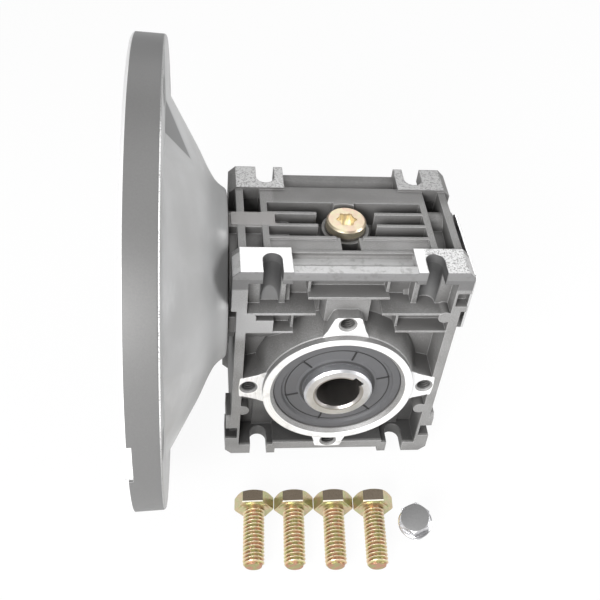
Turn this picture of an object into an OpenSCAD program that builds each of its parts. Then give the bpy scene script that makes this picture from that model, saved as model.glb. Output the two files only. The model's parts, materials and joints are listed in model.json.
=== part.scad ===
// Worm gear reducer with a hollow output shaft and a bell shaped motor flange.
// The origin is the middle of the output bore. The output axis is Y, the worm
// axis is X, above it, and +Z points to the top of the housing.

/* [Housing] */
// Length of the housing along the worm
body_len = 80; // [79:0.5:84]
// Depth of the housing along the output axis
body_depth = 56; // [55:0.5:60]
// Height from the output axis to the top pads
axis_to_top = 57; // [56.5:0.5:60]
// Depth from the output axis to the bottom pads
axis_to_base = 40; // [39.5:0.5:44]
// Distance from the output axis to the worm axis
centre_distance = 30; // [30:0.1:30.4]
// Bevel along the long outer edges of the pads
edge_bevel = 2.5; // [1:0.5:3]
// Thickness of the cast ribs
rib_t = 1.3; // [1.1:0.1:1.7]
// Step from the pads down to the tops of the ribs
rib_step = 1; // [0.5:0.1:1.5]
// Wall around the worm and the wheel
cast_wall = 4; // [3.5:0.25:4.5]

/* [Mounting pads] */
// Spacing of the slots along the worm
foot_spacing_x = 54; // [52:0.5:55]
// Spacing of the slots along the output axis
foot_spacing_y = 44; // [42:0.5:45]
// Width of a slot
foot_slot_w = 6.5; // [6:0.1:7]
// Length of a pad along the worm
pad_len = 19.5; // [18.5:0.25:20.5]
// Depth of a pad along the output axis
pad_depth = 12; // [11:0.25:12.5]
// Thickness of a pad
pad_t = 5.3; // [4.5:0.1:6]
// Width of the side rails
rail_w = 3.4; // [3:0.1:3.8]
// Step from a pad in to the side rail
rail_step = 1.8; // [1:0.1:2]

/* [Output side] */
// Diameter of the machined output ring
ring_d = 55; // [54:0.5:57]
// Height of the ring above its lugs
ring_h = 2.5; // [2.3:0.1:2.7]
// Bolt circle of the tapped lugs
lug_pcd = 65; // [64:0.5:66]
// Tap drill of a lug
lug_tap_d = 5; // [4.8:0.1:5.2]
// Depth of the tapped holes
lug_tap_depth = 10; // [8:0.5:10.5]
// Width of a lug at its outer end
lug_tip_w = 9; // [8:0.5:10]
// Width of a lug at the ring
lug_root_w = 14; // [12:0.5:15]
// Reach of a lug past its hole
lug_reach = 3.3; // [3:0.1:3.6]
// Bore of the hollow output shaft
bore_d = 15.875; // [15:0.125:16.5]
// Width of both keyways
key_w = 4.76; // [4:0.02:5]
// Depth of both keyways past the bore
key_h = 2.13; // [1.6:0.01:2.4]
// Outer diameter of the output shaft
hub_d = 25; // [25:0.1:25.4]
// Length of the output shaft
hub_len = 63; // [62.5:0.5:66]
// Angle of the output keyway above the worm direction
key_angle = 45; // [0:5:90]

/* [Output bearings] */
// Outer diameter of an output bearing
obrg_od = 47; // [46.8:0.1:47.2]
// Width of an output bearing
obrg_w = 12; // [11.8:0.1:12.2]
// Ball diameter of an output bearing
obrg_ball = 6.35; // [6.1:0.05:6.4]
// Number of balls in an output bearing
obrg_balls = 10; // [8:1:11]
// Width of an output seal
oseal_w = 7; // [6.5:0.1:7]
// Depth of an output seal below the ring face
oseal_set = 2; // [1.8:0.1:2.2]

/* [Gears] */
// Module of the worm and the wheel
gear_module = 1.44; // [1.43:0.005:1.445]
// Teeth of the wheel
wheel_teeth = 30; // [30:1:30]
// Thinning of each tooth for backlash
tooth_thinning = 0.15; // [0.12:0.01:0.2]
// Face width of the wheel
wheel_w = 16; // [14:0.5:17]
// Diameter of the wheel's iron core
wheel_core_d = 34; // [33:0.5:35]
// Length of the worm thread
worm_len = 30; // [27:0.5:30]

/* [Worm shaft] */
// Outer diameter of the hollow input end
sleeve_d = 25; // [24.9:0.1:25.1]
// Bore of the input end
input_bore_d = 15.875; // [15:0.125:16.5]
// Reach of the sleeve past the housing
sleeve_reach = 7; // [5:0.5:8]
// Journal diameter at the closed end
journal_d = 12; // [11.9:0.1:12.1]
// Outer diameter of the input bearing
ibrg_od = 37; // [36.8:0.1:37.2]
// Width of the input bearing
ibrg_w = 7; // [6.8:0.1:7.2]
// Ball diameter of the input bearing
ibrg_ball = 3.5; // [3.3:0.05:3.6]
// Number of balls in the input bearing
ibrg_balls = 16; // [12:1:17]
// Outer diameter of the end bearing
ebrg_od = 32; // [31.8:0.1:32.2]
// Width of the end bearing
ebrg_w = 10; // [9.8:0.1:10.2]
// Ball diameter of the end bearing
ebrg_ball = 5.9; // [5.6:0.05:6]
// Number of balls in the end bearing
ebrg_balls = 7; // [6:1:8]
// Thickness of the circlips
circlip_t = 1.2; // [1:0.05:1.4]
// Width of the input seal
iseal_w = 5; // [4.8:0.1:5.2]
// Thickness of the end cap
end_cap_t = 4; // [3.5:0.1:4.1]

/* [Motor flange] */
// Outer diameter of the flange
flange_d = 165.1; // [163:0.1:168]
// Distance from the output axis to the motor face
motor_face_x = 72.4; // [71.5:0.1:75]
// Thickness of the rim
rim_t = 11.1; // [10:0.1:12]
// Pilot diameter for the motor
pilot_d = 114.3; // [113:0.1:116]
// Depth of the pilot recess
pilot_depth = 5; // [4:0.25:5.5]
// Bolt circle of the motor bolts
motor_pcd = 149.2; // [148.5:0.1:150]
// Motor bolt hole
motor_hole_d = 10.4; // [10:0.1:11]
// Diameter of the cone where it leaves the rim
cone_root_d = 126; // [124:0.5:128]
// Diameter of the flat end that meets the housing
cone_tip_d = 64; // [63:0.5:66]
// Wall of the cone measured along its radius
cone_wall = 9; // [8.6:0.1:9.6]
// Circle of the screws that hold the flange
flange_screw_pcd = 45; // [44.5:0.25:45.5]
// Width of the pry slots in the motor face
pry_slot_w = 17; // [14:0.5:18]
// Depth of the pry slots
pry_slot_depth = 2.4; // [1.5:0.1:3]

/* [Side cover] */
// Diameter of the register that enters the housing
register_d = 54; // [53.5:0.1:54.4]
// Circle of the cover screws
cover_screw_pcd = 64; // [64:0.1:64.5]
// Radius of an ear around a cover screw
cover_ear_r = 4.6; // [4.4:0.1:5]
// Thickness of an ear
cover_ear_t = 5; // [4.5:0.25:5]

/* [Screws and plugs] */
// Thread diameter of the cover and flange screws
screw_d = 5; // [4.8:0.1:5]
// Head diameter of the cover and flange screws
screw_head_d = 8.5; // [8:0.1:8.6]
// Thread diameter of the oil plugs
plug_thread_d = 9.7; // [9.4:0.1:9.9]
// Head diameter of the oil plugs
plug_head_d = 13.8; // [13.4:0.1:14]
// Height of the oil plug head
plug_head_h = 3; // [2.8:0.1:3.2]
// Height of the oil plug head's top above the output axis
plug_top_z = 56; // [55.6:0.1:56.4]
// Thread diameter of a motor bolt
bolt_d = 7.94; // [7.8:0.02:8]
// Width across the flats of a motor bolt
bolt_af = 12.7; // [12.4:0.1:12.8]
// Head height of a motor bolt
bolt_head_h = 5.2; // [5:0.1:5.5]
// Length of a motor bolt
bolt_len = 22.2; // [22:0.1:25.4]
// Thread pitch of a motor bolt
bolt_pitch = 1.411; // [1.4:0.001:1.42]
// Gap between the heads of the bolts lying in a row
bolt_gap = 0.1; // [0.1:0.05:0.2]

/* [Nameplate] */
// Length of the plate along the output axis
plate_len = 36; // [34:0.5:38]
// Height of the plate
plate_h = 26.5; // [25:0.5:28]
// Thickness of the plate
plate_t = 0.8; // [0.6:0.1:1]

/* [Hidden] */
$fn = 72;
eps = 0.01;
run_gap = 0.05;
part_gap = 0.3;

// Places along the output axis, counted from the middle
side_y = body_depth / 2;
ring_y = side_y + ring_h;
seal_y = ring_y - oseal_set;
brg_out_y = seal_y - oseal_w;
brg_in_y = brg_out_y - obrg_w;
chamber_y = brg_in_y - 1;
core_y = side_y - 10.5;
cover_seat_y = core_y + part_gap;

// Places along the worm axis
side_x = body_len / 2;
rail_out_x = side_x - rail_step;
rail_in_x = rail_out_x - rail_w;
pad_in_x = side_x - pad_len;
inner_rib_x = 27.2;
inner_rib_t = 2.2;
flange_seat_x = -side_x - 0.5;
gasket_x = flange_seat_x - 0.5;
register_x = flange_seat_x + 1.5;
seal_in_x = register_x + iseal_w;
input_brg_x = seal_in_x + circlip_t;
input_stop_x = input_brg_x + ibrg_w;
end_face_x = side_x - 0.6;
cap_x = end_face_x - end_cap_t - 0.1;
end_brg_x = cap_x - circlip_t - 0.1;
end_stop_x = end_brg_x - ebrg_w;

// Heights
worm_z = centre_distance;
rib_top_z = axis_to_top - rib_step;
rib_low_z = -axis_to_base + rib_step;
core_top_z = worm_z + 16;
rail_top_z = axis_to_top - pad_t + 1.3;

// Gears
wheel_r = gear_module * wheel_teeth / 2;
worm_r = centre_distance - wheel_r;
worm_pitch = PI * gear_module;
worm_tip_r = worm_r + gear_module;
worm_root_r = worm_r - 1.2 * gear_module;
wheel_tip_r = wheel_r + 0.9 * gear_module;
wheel_root_r = wheel_r - 1.2 * gear_module;
tooth_w = worm_pitch / 2 - tooth_thinning;
chamber_r = wheel_tip_r + 1.6;
gallery_r = worm_tip_r + 2.2;
collar_r = sleeve_d / 2 + 1.5;
flank_tan = tan(20);

// Motor flange
flange_r = flange_d / 2;
rim_back_x = -motor_face_x + rim_t;
rim_round = 1.7;
rim_draft = 0.45;
cone_root_r = cone_root_d / 2;
cone_tip_r = cone_tip_d / 2;
cone_end_x = flange_seat_x - 5.3;
cone_slope = (cone_root_r - cone_tip_r - 3.6) / (cone_end_x - rim_back_x);
bell_floor_x = flange_seat_x - 6;
sleeve_hole_r = sleeve_d / 2 + 2;

// Surface that the reducer rests on: it stands on the flange's rim and the far pads
rest_x = side_x - edge_bevel;
rim_rest_x = rim_back_x - rim_round;
rim_rest_z = worm_z - flange_r + rim_draft;
rest_tilt = atan2(-axis_to_base - rim_rest_z, rest_x - rim_rest_x);
function floor_z(x) = -axis_to_base + (x - rest_x) * tan(rest_tilt);

// Loose motor bolts and breather plug
bolt_ac = bolt_af / cos(30);
bolt_row = bolt_ac + bolt_gap;
bolt_row_x = -6.8;
bolt_row_y = -54.9;
bolt_row_turn = -5.6;
bolt_turn = -93.5;
bolt_lie = atan2((bolt_af - bolt_d) / 2, bolt_len);
breather_x = 30.2;
breather_y = -63.4;

// Helpers
module rod_x(r, x0, x1, z = 0) {
    translate([x0, 0, z]) rotate([0, 90, 0]) cylinder(r = r, h = x1 - x0);
}
module rod_y(r, y0, y1, x = 0, z = 0) {
    translate([x, y1, z]) rotate([90, 0, 0]) cylinder(r = r, h = y1 - y0);
}
module ring_on_y(ro, ri, y0, y1) {
    difference() {
        rod_y(ro, y0, y1);
        rod_y(ri, y0 - eps, y1 + eps);
    }
}
module ring_on_x(ro, ri, x0, x1) {
    difference() {
        rod_x(ro, x0, x1, worm_z);
        rod_x(ri, x0 - eps, x1 + eps, worm_z);
    }
}
module slab(x, y, z) {
    translate([x[0], y[0], z[0]]) cube([x[1] - x[0], y[1] - y[0], z[1] - z[0]]);
}
module both_x() {
    children();
    mirror([1, 0, 0]) children();
}
module both_y() {
    children();
    mirror([0, 1, 0]) children();
}
// Extrudes a front view drawn in X and Z between two depths
module front_view(y0, y1) {
    translate([0, y1, 0]) rotate([90, 0, 0]) linear_extrude(y1 - y0) children();
}
// Extrudes a side view drawn in Y and Z between two stations along X
module side_view(x0, x1) {
    translate([x0, 0, 0]) rotate([90, 0, 90]) linear_extrude(x1 - x0) children();
}
// Turns a profile drawn as radius and height about the output axis, outwards
module turned_y() {
    rotate([-90, 0, 0]) rotate_extrude() children();
}
// Turns a profile drawn as radius and station about the worm axis
module turned_x() {
    translate([0, 0, worm_z]) rotate([0, 90, 0]) rotate_extrude() children();
}
// Repeats its children at quarter turns about the worm axis
module quarters_x(start) {
    translate([0, 0, worm_z])
        for (k = [0 : 3]) rotate([start + 90 * k, 0, 0]) translate([0, 0, -worm_z]) children();
}
// Repeats its children at quarter turns about the output axis
module quarters_y(start) {
    for (k = [0 : 3]) rotate([0, start + 90 * k, 0]) children();
}

// Repeats its children at the four cover screws, clear of the worm
module cover_spots() {
    for (a = [-24, 24, 156, 204]) rotate([0, a, 0]) children();
}
cover_screw_grip = 4.5;

// Outline of one output lug in the front view, above the ring
module lug_outline() {
    tip = lug_pcd / 2 + lug_reach;
    root = ring_d / 2 - 2;
    flank = [[lug_root_w / 2 + 1.8, root - 1], [lug_root_w / 2 + 1.2, ring_d / 2 - 1],
        [lug_root_w / 2 + 0.5, ring_d / 2 + 0.4], [lug_root_w / 2 - 0.3, ring_d / 2 + 1.8],
        [lug_tip_w / 2 + 0.7, tip - 2], [lug_tip_w / 2 + 0.2, tip - 0.7], [lug_tip_w / 2 - 0.8, tip]];
    polygon(concat(flank, [for (k = [len(flank) - 1 : -1 : 0]) [-flank[k][0], flank[k][1]]]));
}

// Cut that turns a pad into one with a slot open to the side
module foot_slot(z0, z1) {
    translate([foot_spacing_x / 2, -foot_spacing_y / 2, z0]) {
        cylinder(d = foot_slot_w, h = z1 - z0);
        translate([-foot_slot_w / 2, -pad_depth, 0]) cube([foot_slot_w, pad_depth, z1 - z0]);
    }
}
// One quarter of the pads: a thin pad and the block that carries it at the corner
module top_pad() {
    slab([pad_in_x, side_x], [-side_y, -side_y + pad_depth], [axis_to_top - pad_t, axis_to_top]);
    slab([rail_in_x, side_x], [-side_y, -side_y + pad_depth], [39, axis_to_top]);
}
module bottom_pad() {
    slab([pad_in_x, side_x], [-side_y, -side_y + pad_depth], [-axis_to_base, -axis_to_base + pad_t]);
    slab([rail_in_x, side_x], [-side_y, -side_y + pad_depth], [-axis_to_base, -axis_to_base + 9.6]);
    side_view(rail_in_x, side_x) polygon([
        [-side_y, -24], [-side_y + pad_depth, -24], [-side_y + pad_depth, -17.5],
        [-side_y + 1.2, -17.5], [-side_y, -19.5]
    ]);
}
// Pads, rails and blocks of one corner, seen from the front right
module corner() {
    difference() {
        union() {
            top_pad();
            bottom_pad();
            slab([rail_in_x, rail_out_x], [-side_y, -side_y + pad_depth], [-axis_to_base + 1,
                    axis_to_top - 1]);
        }
        foot_slot(axis_to_top - pad_t - eps, axis_to_top + eps);
        foot_slot(-axis_to_base - eps, -axis_to_base + pad_t + eps);
        // Relief in the front of the rail above the bottom block
        slab([rail_in_x + 0.8, side_x + eps], [-side_y - eps, -side_y + 4], [-30.4, -24]);
        edge_bevels();
    }
}
module edge_bevels() {
    for (z = [axis_to_top, -axis_to_base])
        translate([side_x, 0, z]) rotate([0, 45, 0])
            cube([edge_bevel * sqrt(2), body_depth + 2, edge_bevel * sqrt(2)], center = true);
}
// Rail between two pads, with the shallow channel behind it
module pad_bridge(drop) {
    z1 = rib_top_z + 0.3 - drop;
    z0 = rail_top_z - drop;
    side_view(-pad_in_x - 1, pad_in_x + 1) polygon([
        [-side_y, z0], [-side_y, z1 - 0.4], [-side_y + 0.4, z1], [-side_y + 3.8, z1],
        [-side_y + 6.5, z1 - 2.2], [-core_y - 0.6, z1 - 2.4], [-core_y + eps, z1 - 1.5],
        [-core_y + eps, z0]
    ]);
}
rear_rail_drop = 2.5;
module bottom_bridge() {
    z0 = -axis_to_base + 2.7;
    side_view(-pad_in_x - 1, pad_in_x + 1) polygon([
        [-side_y, z0], [-side_y, z0 + 4], [-core_y + 1, z0 + 4], [-core_y + 1, z0 + 1],
        [-side_y + 4, z0]
    ]);
}
// Ribs that stand on the worm gallery
module top_ribs() {
    rib_rows = [[9.6, 4.6], [3.2, 10.2]];
    both_x() both_y() for (row = rib_rows)
        slab([row[1], inner_rib_x + 1], [row[0] - rib_t / 2, row[0] + rib_t / 2], [core_top_z - 1,
                rib_top_z]);
    both_x() {
        slab([inner_rib_x, inner_rib_x + inner_rib_t], [-core_y, core_y], [core_top_z - 1, rib_top_z]);
        slab([rail_in_x + 0.4, rail_in_x + 3], [-core_y, core_y], [-axis_to_base + 3, rib_top_z]);
    }
    // Plateaus along the two long sides
    both_x() slab([3.2, inner_rib_x + 1], [-core_y, -9], [core_top_z - 1, rib_top_z - 0.7]);
    slab([-inner_rib_x - 1, inner_rib_x + 1], [9, core_y], [core_top_z - 1, rib_top_z]);
    slab([-inner_rib_x - 1, inner_rib_x + 1], [-core_y, -core_y + rib_t], [core_top_z - 1, rib_top_z]);
    // Neck between the rear plateau and the plug boss
    slab([-3.6, 3.6], [6, 10], [core_top_z - 1, rib_top_z]);
    // Lug of the upper flange screw, with the web that carries it
slab([flange_seat_x + 0.6, -24.8], [-3.3, 3.3], [core_top_z - 1, rib_top_z]);
}
module bottom_ribs() {
    both_y() both_x() for (y = [3.2, 9.6])
        slab([0, inner_rib_x + 1], [y - rib_t / 2, y + rib_t / 2], [rib_low_z, -24]);
    both_x() slab([inner_rib_x, inner_rib_x + inner_rib_t], [-core_y, core_y], [rib_low_z, -16]);
    both_y() slab([-inner_rib_x - 1, inner_rib_x + 1], [-core_y, -core_y + rib_t], [rib_low_z, -20]);
}
// Thin shelves and pockets between the rails and the output ring
module front_fins(drop) {
    y0 = -side_y + 0.2;
    y1 = -core_y + eps;
    // Upper pocket between the shelf at 45 and the rail, with its shallow back
    slab([-14.8, 12.6], [y0, y1], [44.6, 45.5]);
    slab([-14.8, -13.9], [y0 + 3, y1], [44.8, rail_top_z + 0.8 - drop]);
    slab([11.7, 12.6], [y0 + 3, y1], [44.8, rail_top_z + 0.8 - drop]);
    slab([-14.6, 12.4], [-core_y - 4, y1], [45.1, rail_top_z + 0.7 - drop]);
    // Shelves at 37
    slab([-rail_in_x - 1, -11.6], [y0, y1], [37, 37.9]);
    slab([11.1, rail_in_x + 1], [y0, y1], [37, 37.9]);
    // Column between the upper lug and the shelf
    translate([0, 0, 30]) linear_extrude(15) polygon([[-9, y1], [-7.6, -side_y + 4.5], [7.6,
            -side_y + 4.5], [9, y1]]);
    // Walls of the slots' pockets, down to the shelf
    both_x() difference() {
        slab([foot_spacing_x / 2 - 5.2, rail_in_x + 1], [-side_y + 5.4, y1], [37.4,
                axis_to_top - pad_t + 1]);
        translate([foot_spacing_x / 2, -foot_spacing_y / 2, 30]) cylinder(d = foot_slot_w, h = 30);
        slab([foot_spacing_x / 2 - foot_slot_w / 2, foot_spacing_x / 2 + foot_slot_w / 2],
                [-side_y, -foot_spacing_y / 2], [30, 60]);
    }
    slab([-rail_in_x - 1, -25.6], [-side_y, y1], [28.6, 34.5]);
    slab([-26, -18.6], [y0, y1], [28.4, 29.2]);
    slab([-19.4, -18.6], [y0 + 2.5, y1], [28.5, 37.2]);
    slab([-25.8, -18.8], [-core_y - 4, y1], [28.8, 37.3]);
    // Right pocket under the shelf
    slab([17, rail_in_x + 1], [y0, y1], [28.6, 29.4]);
    slab([17, 17.8], [y0 + 2.5, y1], [28.7, 37.2]);
    slab([17.2, rail_in_x + 1.1], [-core_y - 4, y1], [29, 37.3]);
    // Walls that close the gap beside the core
    both_x() slab([24, rail_in_x + 1], [y1 + 0.5, y1 + 3], [-34, 30]);
    // Low shelves beside the ring
    both_x() slab([24, rail_in_x + 1], [y0 + 3, y1 + 8], [-10.2, -8.4]);
    // Marks of the ejector pins
    for (p = ejector_marks) rod_y(2.4, -side_y, -core_y - 2, p[0], p[1]);
}
ejector_marks = [[-33.9, 35.6], [33.3, 36.1], [-34.1, -13.4], [33.3, -13.3]];

// Solid core: the worm gallery, the wheel chamber and the bearing bosses
module core() {
    chamber_out = obrg_od / 2 + cast_wall;
    slab([-inner_rib_x - 1, inner_rib_x + 1], [-core_y, core_y], [worm_z - 6, core_top_z]);
    rod_y(chamber_r + cast_wall, -core_y, core_y);
    translate([0, -core_y, 0]) rotate([90, 0, 0])
        cylinder(r1 = chamber_out + 3, r2 = ring_d / 2 + 0.3, h = side_y - core_y - 0.1);
    rod_x(ibrg_od / 2 + cast_wall, flange_seat_x, -20, worm_z);
    rod_x(ebrg_od / 2 + cast_wall, 20, end_face_x, worm_z);
    // Lugs of the flange screws around the input boss
    quarters_x(0) slab([flange_seat_x, -28], [-3.7, 3.7],
        [worm_z, worm_z + flange_screw_pcd / 2 + 2.8]);
    // Posts for the cover screws
    cover_spots() rod_y(cover_ear_r, 8, core_y, cover_screw_pcd / 2);
    // Boss of the oil plug
    cylinder(r = plug_head_d / 2 + 1.4, h = plug_seat_z());
    // Boss for the nameplate's rear rivet
    translate([0, plate_rivet_y(1), 0]) {
        rod_x(4.5, inner_rib_x + 1, rail_out_x + 1, plate_rivet_z());
        rod_x(2.6, inner_rib_x + 1, side_x, plate_rivet_z());
    }
}
function plug_seat_z() = plug_top_z - plug_head_h - 1;

module housing_cavity() {
    // Wheel chamber, seal and bearing seats
    rod_y(chamber_r, -chamber_y, core_y + 1);
    rod_y(register_d / 2, brg_in_y - 1, core_y + 1);
    rod_y(obrg_od / 2, -ring_y - eps, -brg_in_y);
    rod_y(obrg_od / 2 - 2.5, -brg_in_y - eps, -chamber_y + eps);
    // Worm gallery, bearing seats and the groove of the end circlip
    rod_x(gallery_r, input_stop_x, end_stop_x, worm_z);
    rod_x(collar_r + 1, input_stop_x - eps, -15.6, worm_z);
    rod_x(ibrg_od / 2, flange_seat_x - eps, input_stop_x, worm_z);
    rod_x(ebrg_od / 2, end_stop_x - eps, end_face_x + eps, worm_z);
    rod_x(ebrg_od / 2 + 0.8, end_brg_x, end_brg_x + circlip_t, worm_z);
    rod_x(ibrg_od / 2 + 0.8, seal_in_x, input_brg_x, worm_z);
    // Oil plug
    translate([0, 0, worm_z]) cylinder(d = plug_thread_d, h = 40);
    translate([0, 0, plug_seat_z()]) cylinder(r = plug_head_d / 2 + 1.6, h = 20);
    // Screws of the flange and of the cover
    quarters_x(0) translate([0, 0, flange_screw_pcd / 2])
        rod_x(screw_d / 2, flange_seat_x - eps, flange_seat_x + 11, worm_z);
    cover_spots() rod_y(screw_d / 2, cover_seat_y - cover_screw_grip - 0.6, core_y + 1,
            cover_screw_pcd / 2);
    // Bevel inside the front ring
    translate([0, -ring_y - eps, 0]) rotate([-90, 0, 0]) cylinder(r1 = obrg_od / 2 + 1.5,
            r2 = obrg_od / 2, h = 1.5);
    // Tapped lugs of the front
    quarters_y(0) rod_y(lug_tap_d / 2, -side_y - eps, -side_y + lug_tap_depth, 0, lug_pcd / 2);
    quarters_y(0) translate([0, -side_y + 0.6, lug_pcd / 2]) rotate([90, 0, 0])
        cylinder(r1 = lug_tap_d / 2, r2 = lug_tap_d / 2 + 1, h = 0.7);
    // Rivets of the nameplate
    for (k = [0, 1]) translate([0, plate_rivet_y(k), 0]) rod_x(0.9, side_x - 4, side_x + eps,
            plate_rivet_z());
    // Room for the lugs and ears of the cover
    translate([0, cover_seat_y - part_gap - 0.1, 0]) rotate([-90, 0, 0])
        cylinder(r = lug_pcd / 2 + lug_reach + 1.1, h = 20);
}
module output_face() {
    rod_y(ring_d / 2, -ring_y, -core_y);
    front_view(-side_y, -core_y + 1) for (k = [0 : 3]) rotate(90 * k) lug_outline();
}
module housing() {
    color("silver") difference() {
        union() {
            core();
            both_x() both_y() corner();
            pad_bridge(0);
            mirror([0, 1, 0]) pad_bridge(rear_rail_drop);
            both_y() bottom_bridge();
            top_ribs();
            bottom_ribs();
            front_fins(0);
            mirror([0, 1, 0]) front_fins(rear_rail_drop);
            output_face();
        }
        housing_cavity();
        // Relief in the right rails below the upper pads
        both_y() slab([rail_in_x + 0.8, side_x + eps], [-side_y - eps, -side_y + 4], [41.4, 47.4]);
    }
}

// Cover that closes the rear side, with the rear output ring and lugs
module side_cover() {
    color("silver") difference() {
        union() {
            rod_y(obrg_od / 2 + 1.1, brg_in_y - 0.9, cover_seat_y - 1);
            rod_y(register_d / 2 - run_gap, brg_in_y + 0.7, cover_seat_y);
            rod_y(register_d / 2 + 3.6, cover_seat_y, side_y);
            rod_y(ring_d / 2, cover_seat_y, ring_y);
            front_view(cover_seat_y, side_y) for (k = [0 : 3]) rotate(90 * k) lug_outline();
            cover_spots() rod_y(cover_ear_r, cover_seat_y - 0.15, cover_seat_y + cover_ear_t,
                    cover_screw_pcd / 2);
        }
        rod_y(obrg_od / 2, brg_in_y, ring_y + eps);
        translate([0, ring_y + eps, 0]) rotate([90, 0, 0]) cylinder(r1 = obrg_od / 2 + 1.5,
                r2 = obrg_od / 2, h = 1.5);
        rod_y(obrg_od / 2 - 2.5, brg_in_y - 1, brg_in_y + eps);
        cover_spots() rod_y(screw_d / 2 + 0.25, cover_seat_y - 1, side_y + eps, cover_screw_pcd / 2);
        cover_spots() rod_y(screw_head_d / 2 + 0.2, cover_seat_y + cover_ear_t, side_y + eps,
                cover_screw_pcd / 2);
        quarters_y(0) rod_y(lug_tap_d / 2, side_y - lug_tap_depth + part_gap, side_y + eps, 0,
                lug_pcd / 2);
        // Groove of the sealing ring
        ring_on_y(register_d / 2 + 1, register_d / 2 - 1.6, oring_y - 1.1, oring_y + 1.1);
    }
}
oring_r = 0.75;
oring_y = cover_seat_y - 3;
module side_cover_oring() {
    color("black") turned_y() translate([register_d / 2 - oring_r - run_gap / 2, oring_y]) circle(oring_r);
}
// Socket head screw with its head on +Z of the origin
module socket_screw(len) {
    difference() {
        union() {
            translate([0, 0, -len]) cylinder(d = screw_d, h = len);
            cylinder(d = screw_head_d, h = screw_d - 0.5);
            translate([0, 0, screw_d - 0.5]) cylinder(d1 = screw_head_d, d2 = screw_head_d - 1, h = 0.5);
        }
        translate([0, 0, screw_d - 2.6]) cylinder(d = 4.6, h = 3, $fn = 6);
    }
}
module side_cover_screws() {
    color("dimgray") cover_spots()
        translate([cover_screw_pcd / 2, cover_seat_y + cover_ear_t, 0]) rotate([-90, 0, 0])
            socket_screw(cover_ear_t + cover_screw_grip);
}

// Hollow output shaft with the iron core of the wheel
module output_hub() {
    shoulder_r = hub_d / 2 + 2;
    color("gray") difference() {
        union() {
            rod_y(hub_d / 2, -hub_len / 2 + 0.8, hub_len / 2 - 0.8);
            both_y() translate([0, -hub_len / 2, 0]) rotate([-90, 0, 0])
                cylinder(r1 = hub_d / 2 - 0.8, r2 = hub_d / 2, h = 0.8 + eps);
            rod_y(shoulder_r, -brg_in_y, brg_in_y);
            rod_y(wheel_core_d / 2, -wheel_w / 2, wheel_w / 2);
        }
        rod_y(bore_d / 2, -hub_len, hub_len);
        both_y() translate([0, -hub_len / 2 - eps, 0]) rotate([-90, 0, 0])
            cylinder(r1 = bore_d / 2 + 0.8, r2 = bore_d / 2, h = 0.8);
        rotate([0, -key_angle, 0]) slab([0, bore_d / 2 + key_h], [-hub_len, hub_len], [-key_w / 2,
                key_w / 2]);
    }
}
// Half of the angle that a wheel tooth covers at radius r
function involute(a) = tan(a) * 180 / PI - a;
function half_tooth(r) =
    tooth_w / 2 / wheel_r * 180 / PI + involute(20) - involute(acos(min(1, wheel_r * cos(20) / r)));
function wheel_points() = [
    for (k = [0 : wheel_teeth - 1])
        for (p = [[-1, wheel_root_r], [-1, wheel_r * cos(20)], [-1, wheel_r], [-1, wheel_tip_r],
                  [1, wheel_tip_r], [1, wheel_r], [1, wheel_r * cos(20)], [1, wheel_root_r]])
            let (a = -90 + (k + 0.5) * 360 / wheel_teeth + p[0] * half_tooth(max(p[1], wheel_r * cos(20))))
            [p[1] * cos(a), p[1] * sin(a)]
];
module worm_wheel_rim() {
    twist_angle = wheel_w * worm_pitch / (2 * PI * worm_r) / wheel_r * 180 / PI;
    color("goldenrod") difference() {
        translate([0, -wheel_w / 2, 0]) rotate([-90, 0, 0]) rotate([0, 0, -twist_angle / 2])
            linear_extrude(wheel_w, twist = -twist_angle, slices = 4, $fn = 12) polygon(wheel_points());
        rod_y(wheel_core_d / 2, -wheel_w, wheel_w);
    }
}

// Ball bearing in its own frame: axis Z, from 0 to w
function race_gap(ball) = ball * 0.4;
module race_groove(pitch_r, ball, w) {
    rotate_extrude() translate([pitch_r, w / 2]) circle(ball / 2 + run_gap, $fn = 48);
}
module bearing_outer(id, od, w, ball) {
    pitch_r = (id + od) / 4;
    difference() {
        cylinder(d = od, h = w);
        translate([0, 0, -eps]) cylinder(r = pitch_r + race_gap(ball), h = w + 2 * eps);
        race_groove(pitch_r, ball, w);
    }
}
module bearing_inner(id, od, w, ball) {
    pitch_r = (id + od) / 4;
    difference() {
        cylinder(r = pitch_r - race_gap(ball), h = w);
        translate([0, 0, -eps]) cylinder(d = id, h = w + 2 * eps);
        race_groove(pitch_r, ball, w);
    }
}
module bearing_balls(id, od, w, ball, count) {
    for (k = [0 : count - 1]) rotate(360 / count * k) translate([(id + od) / 4, 0,
            w / 2]) sphere(d = ball);
}
module bearing_cage(id, od, w, ball, count) {
    pitch_r = (id + od) / 4;
    wall = race_gap(ball) * 0.45;
    difference() {
        translate([0, 0, w / 2 - ball * 0.62]) cylinder(r = pitch_r + wall, h = ball * 1.24);
        cylinder(r = pitch_r - wall, h = w);
        for (k = [0 : count - 1]) rotate(360 / count * k) translate([pitch_r - ball, 0, w / 2])
            rotate([0, 90, 0]) cylinder(d = ball + 4 * run_gap, h = 2 * ball);
    }
}
module at_front_bearing() {
    translate([0, -brg_in_y, 0]) rotate([90, 0, 0]) children();
}
module at_rear_bearing() {
    translate([0, brg_in_y, 0]) rotate([-90, 0, 0]) children();
}
module at_input_bearing() {
    translate([input_brg_x, 0, worm_z]) rotate([0, 90, 0]) children();
}
module at_end_bearing() {
    translate([end_stop_x, 0, worm_z]) rotate([0, 90, 0]) children();
}
module front_bearing_outer_ring() {
    color("lightsteelblue") at_front_bearing() bearing_outer(hub_d, obrg_od, obrg_w, obrg_ball);
}
module front_bearing_inner_ring() {
    color("lightsteelblue") at_front_bearing() bearing_inner(hub_d, obrg_od, obrg_w, obrg_ball);
}
module front_bearing_balls() {
    color("white") at_front_bearing() bearing_balls(hub_d, obrg_od, obrg_w, obrg_ball, obrg_balls);
}
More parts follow.
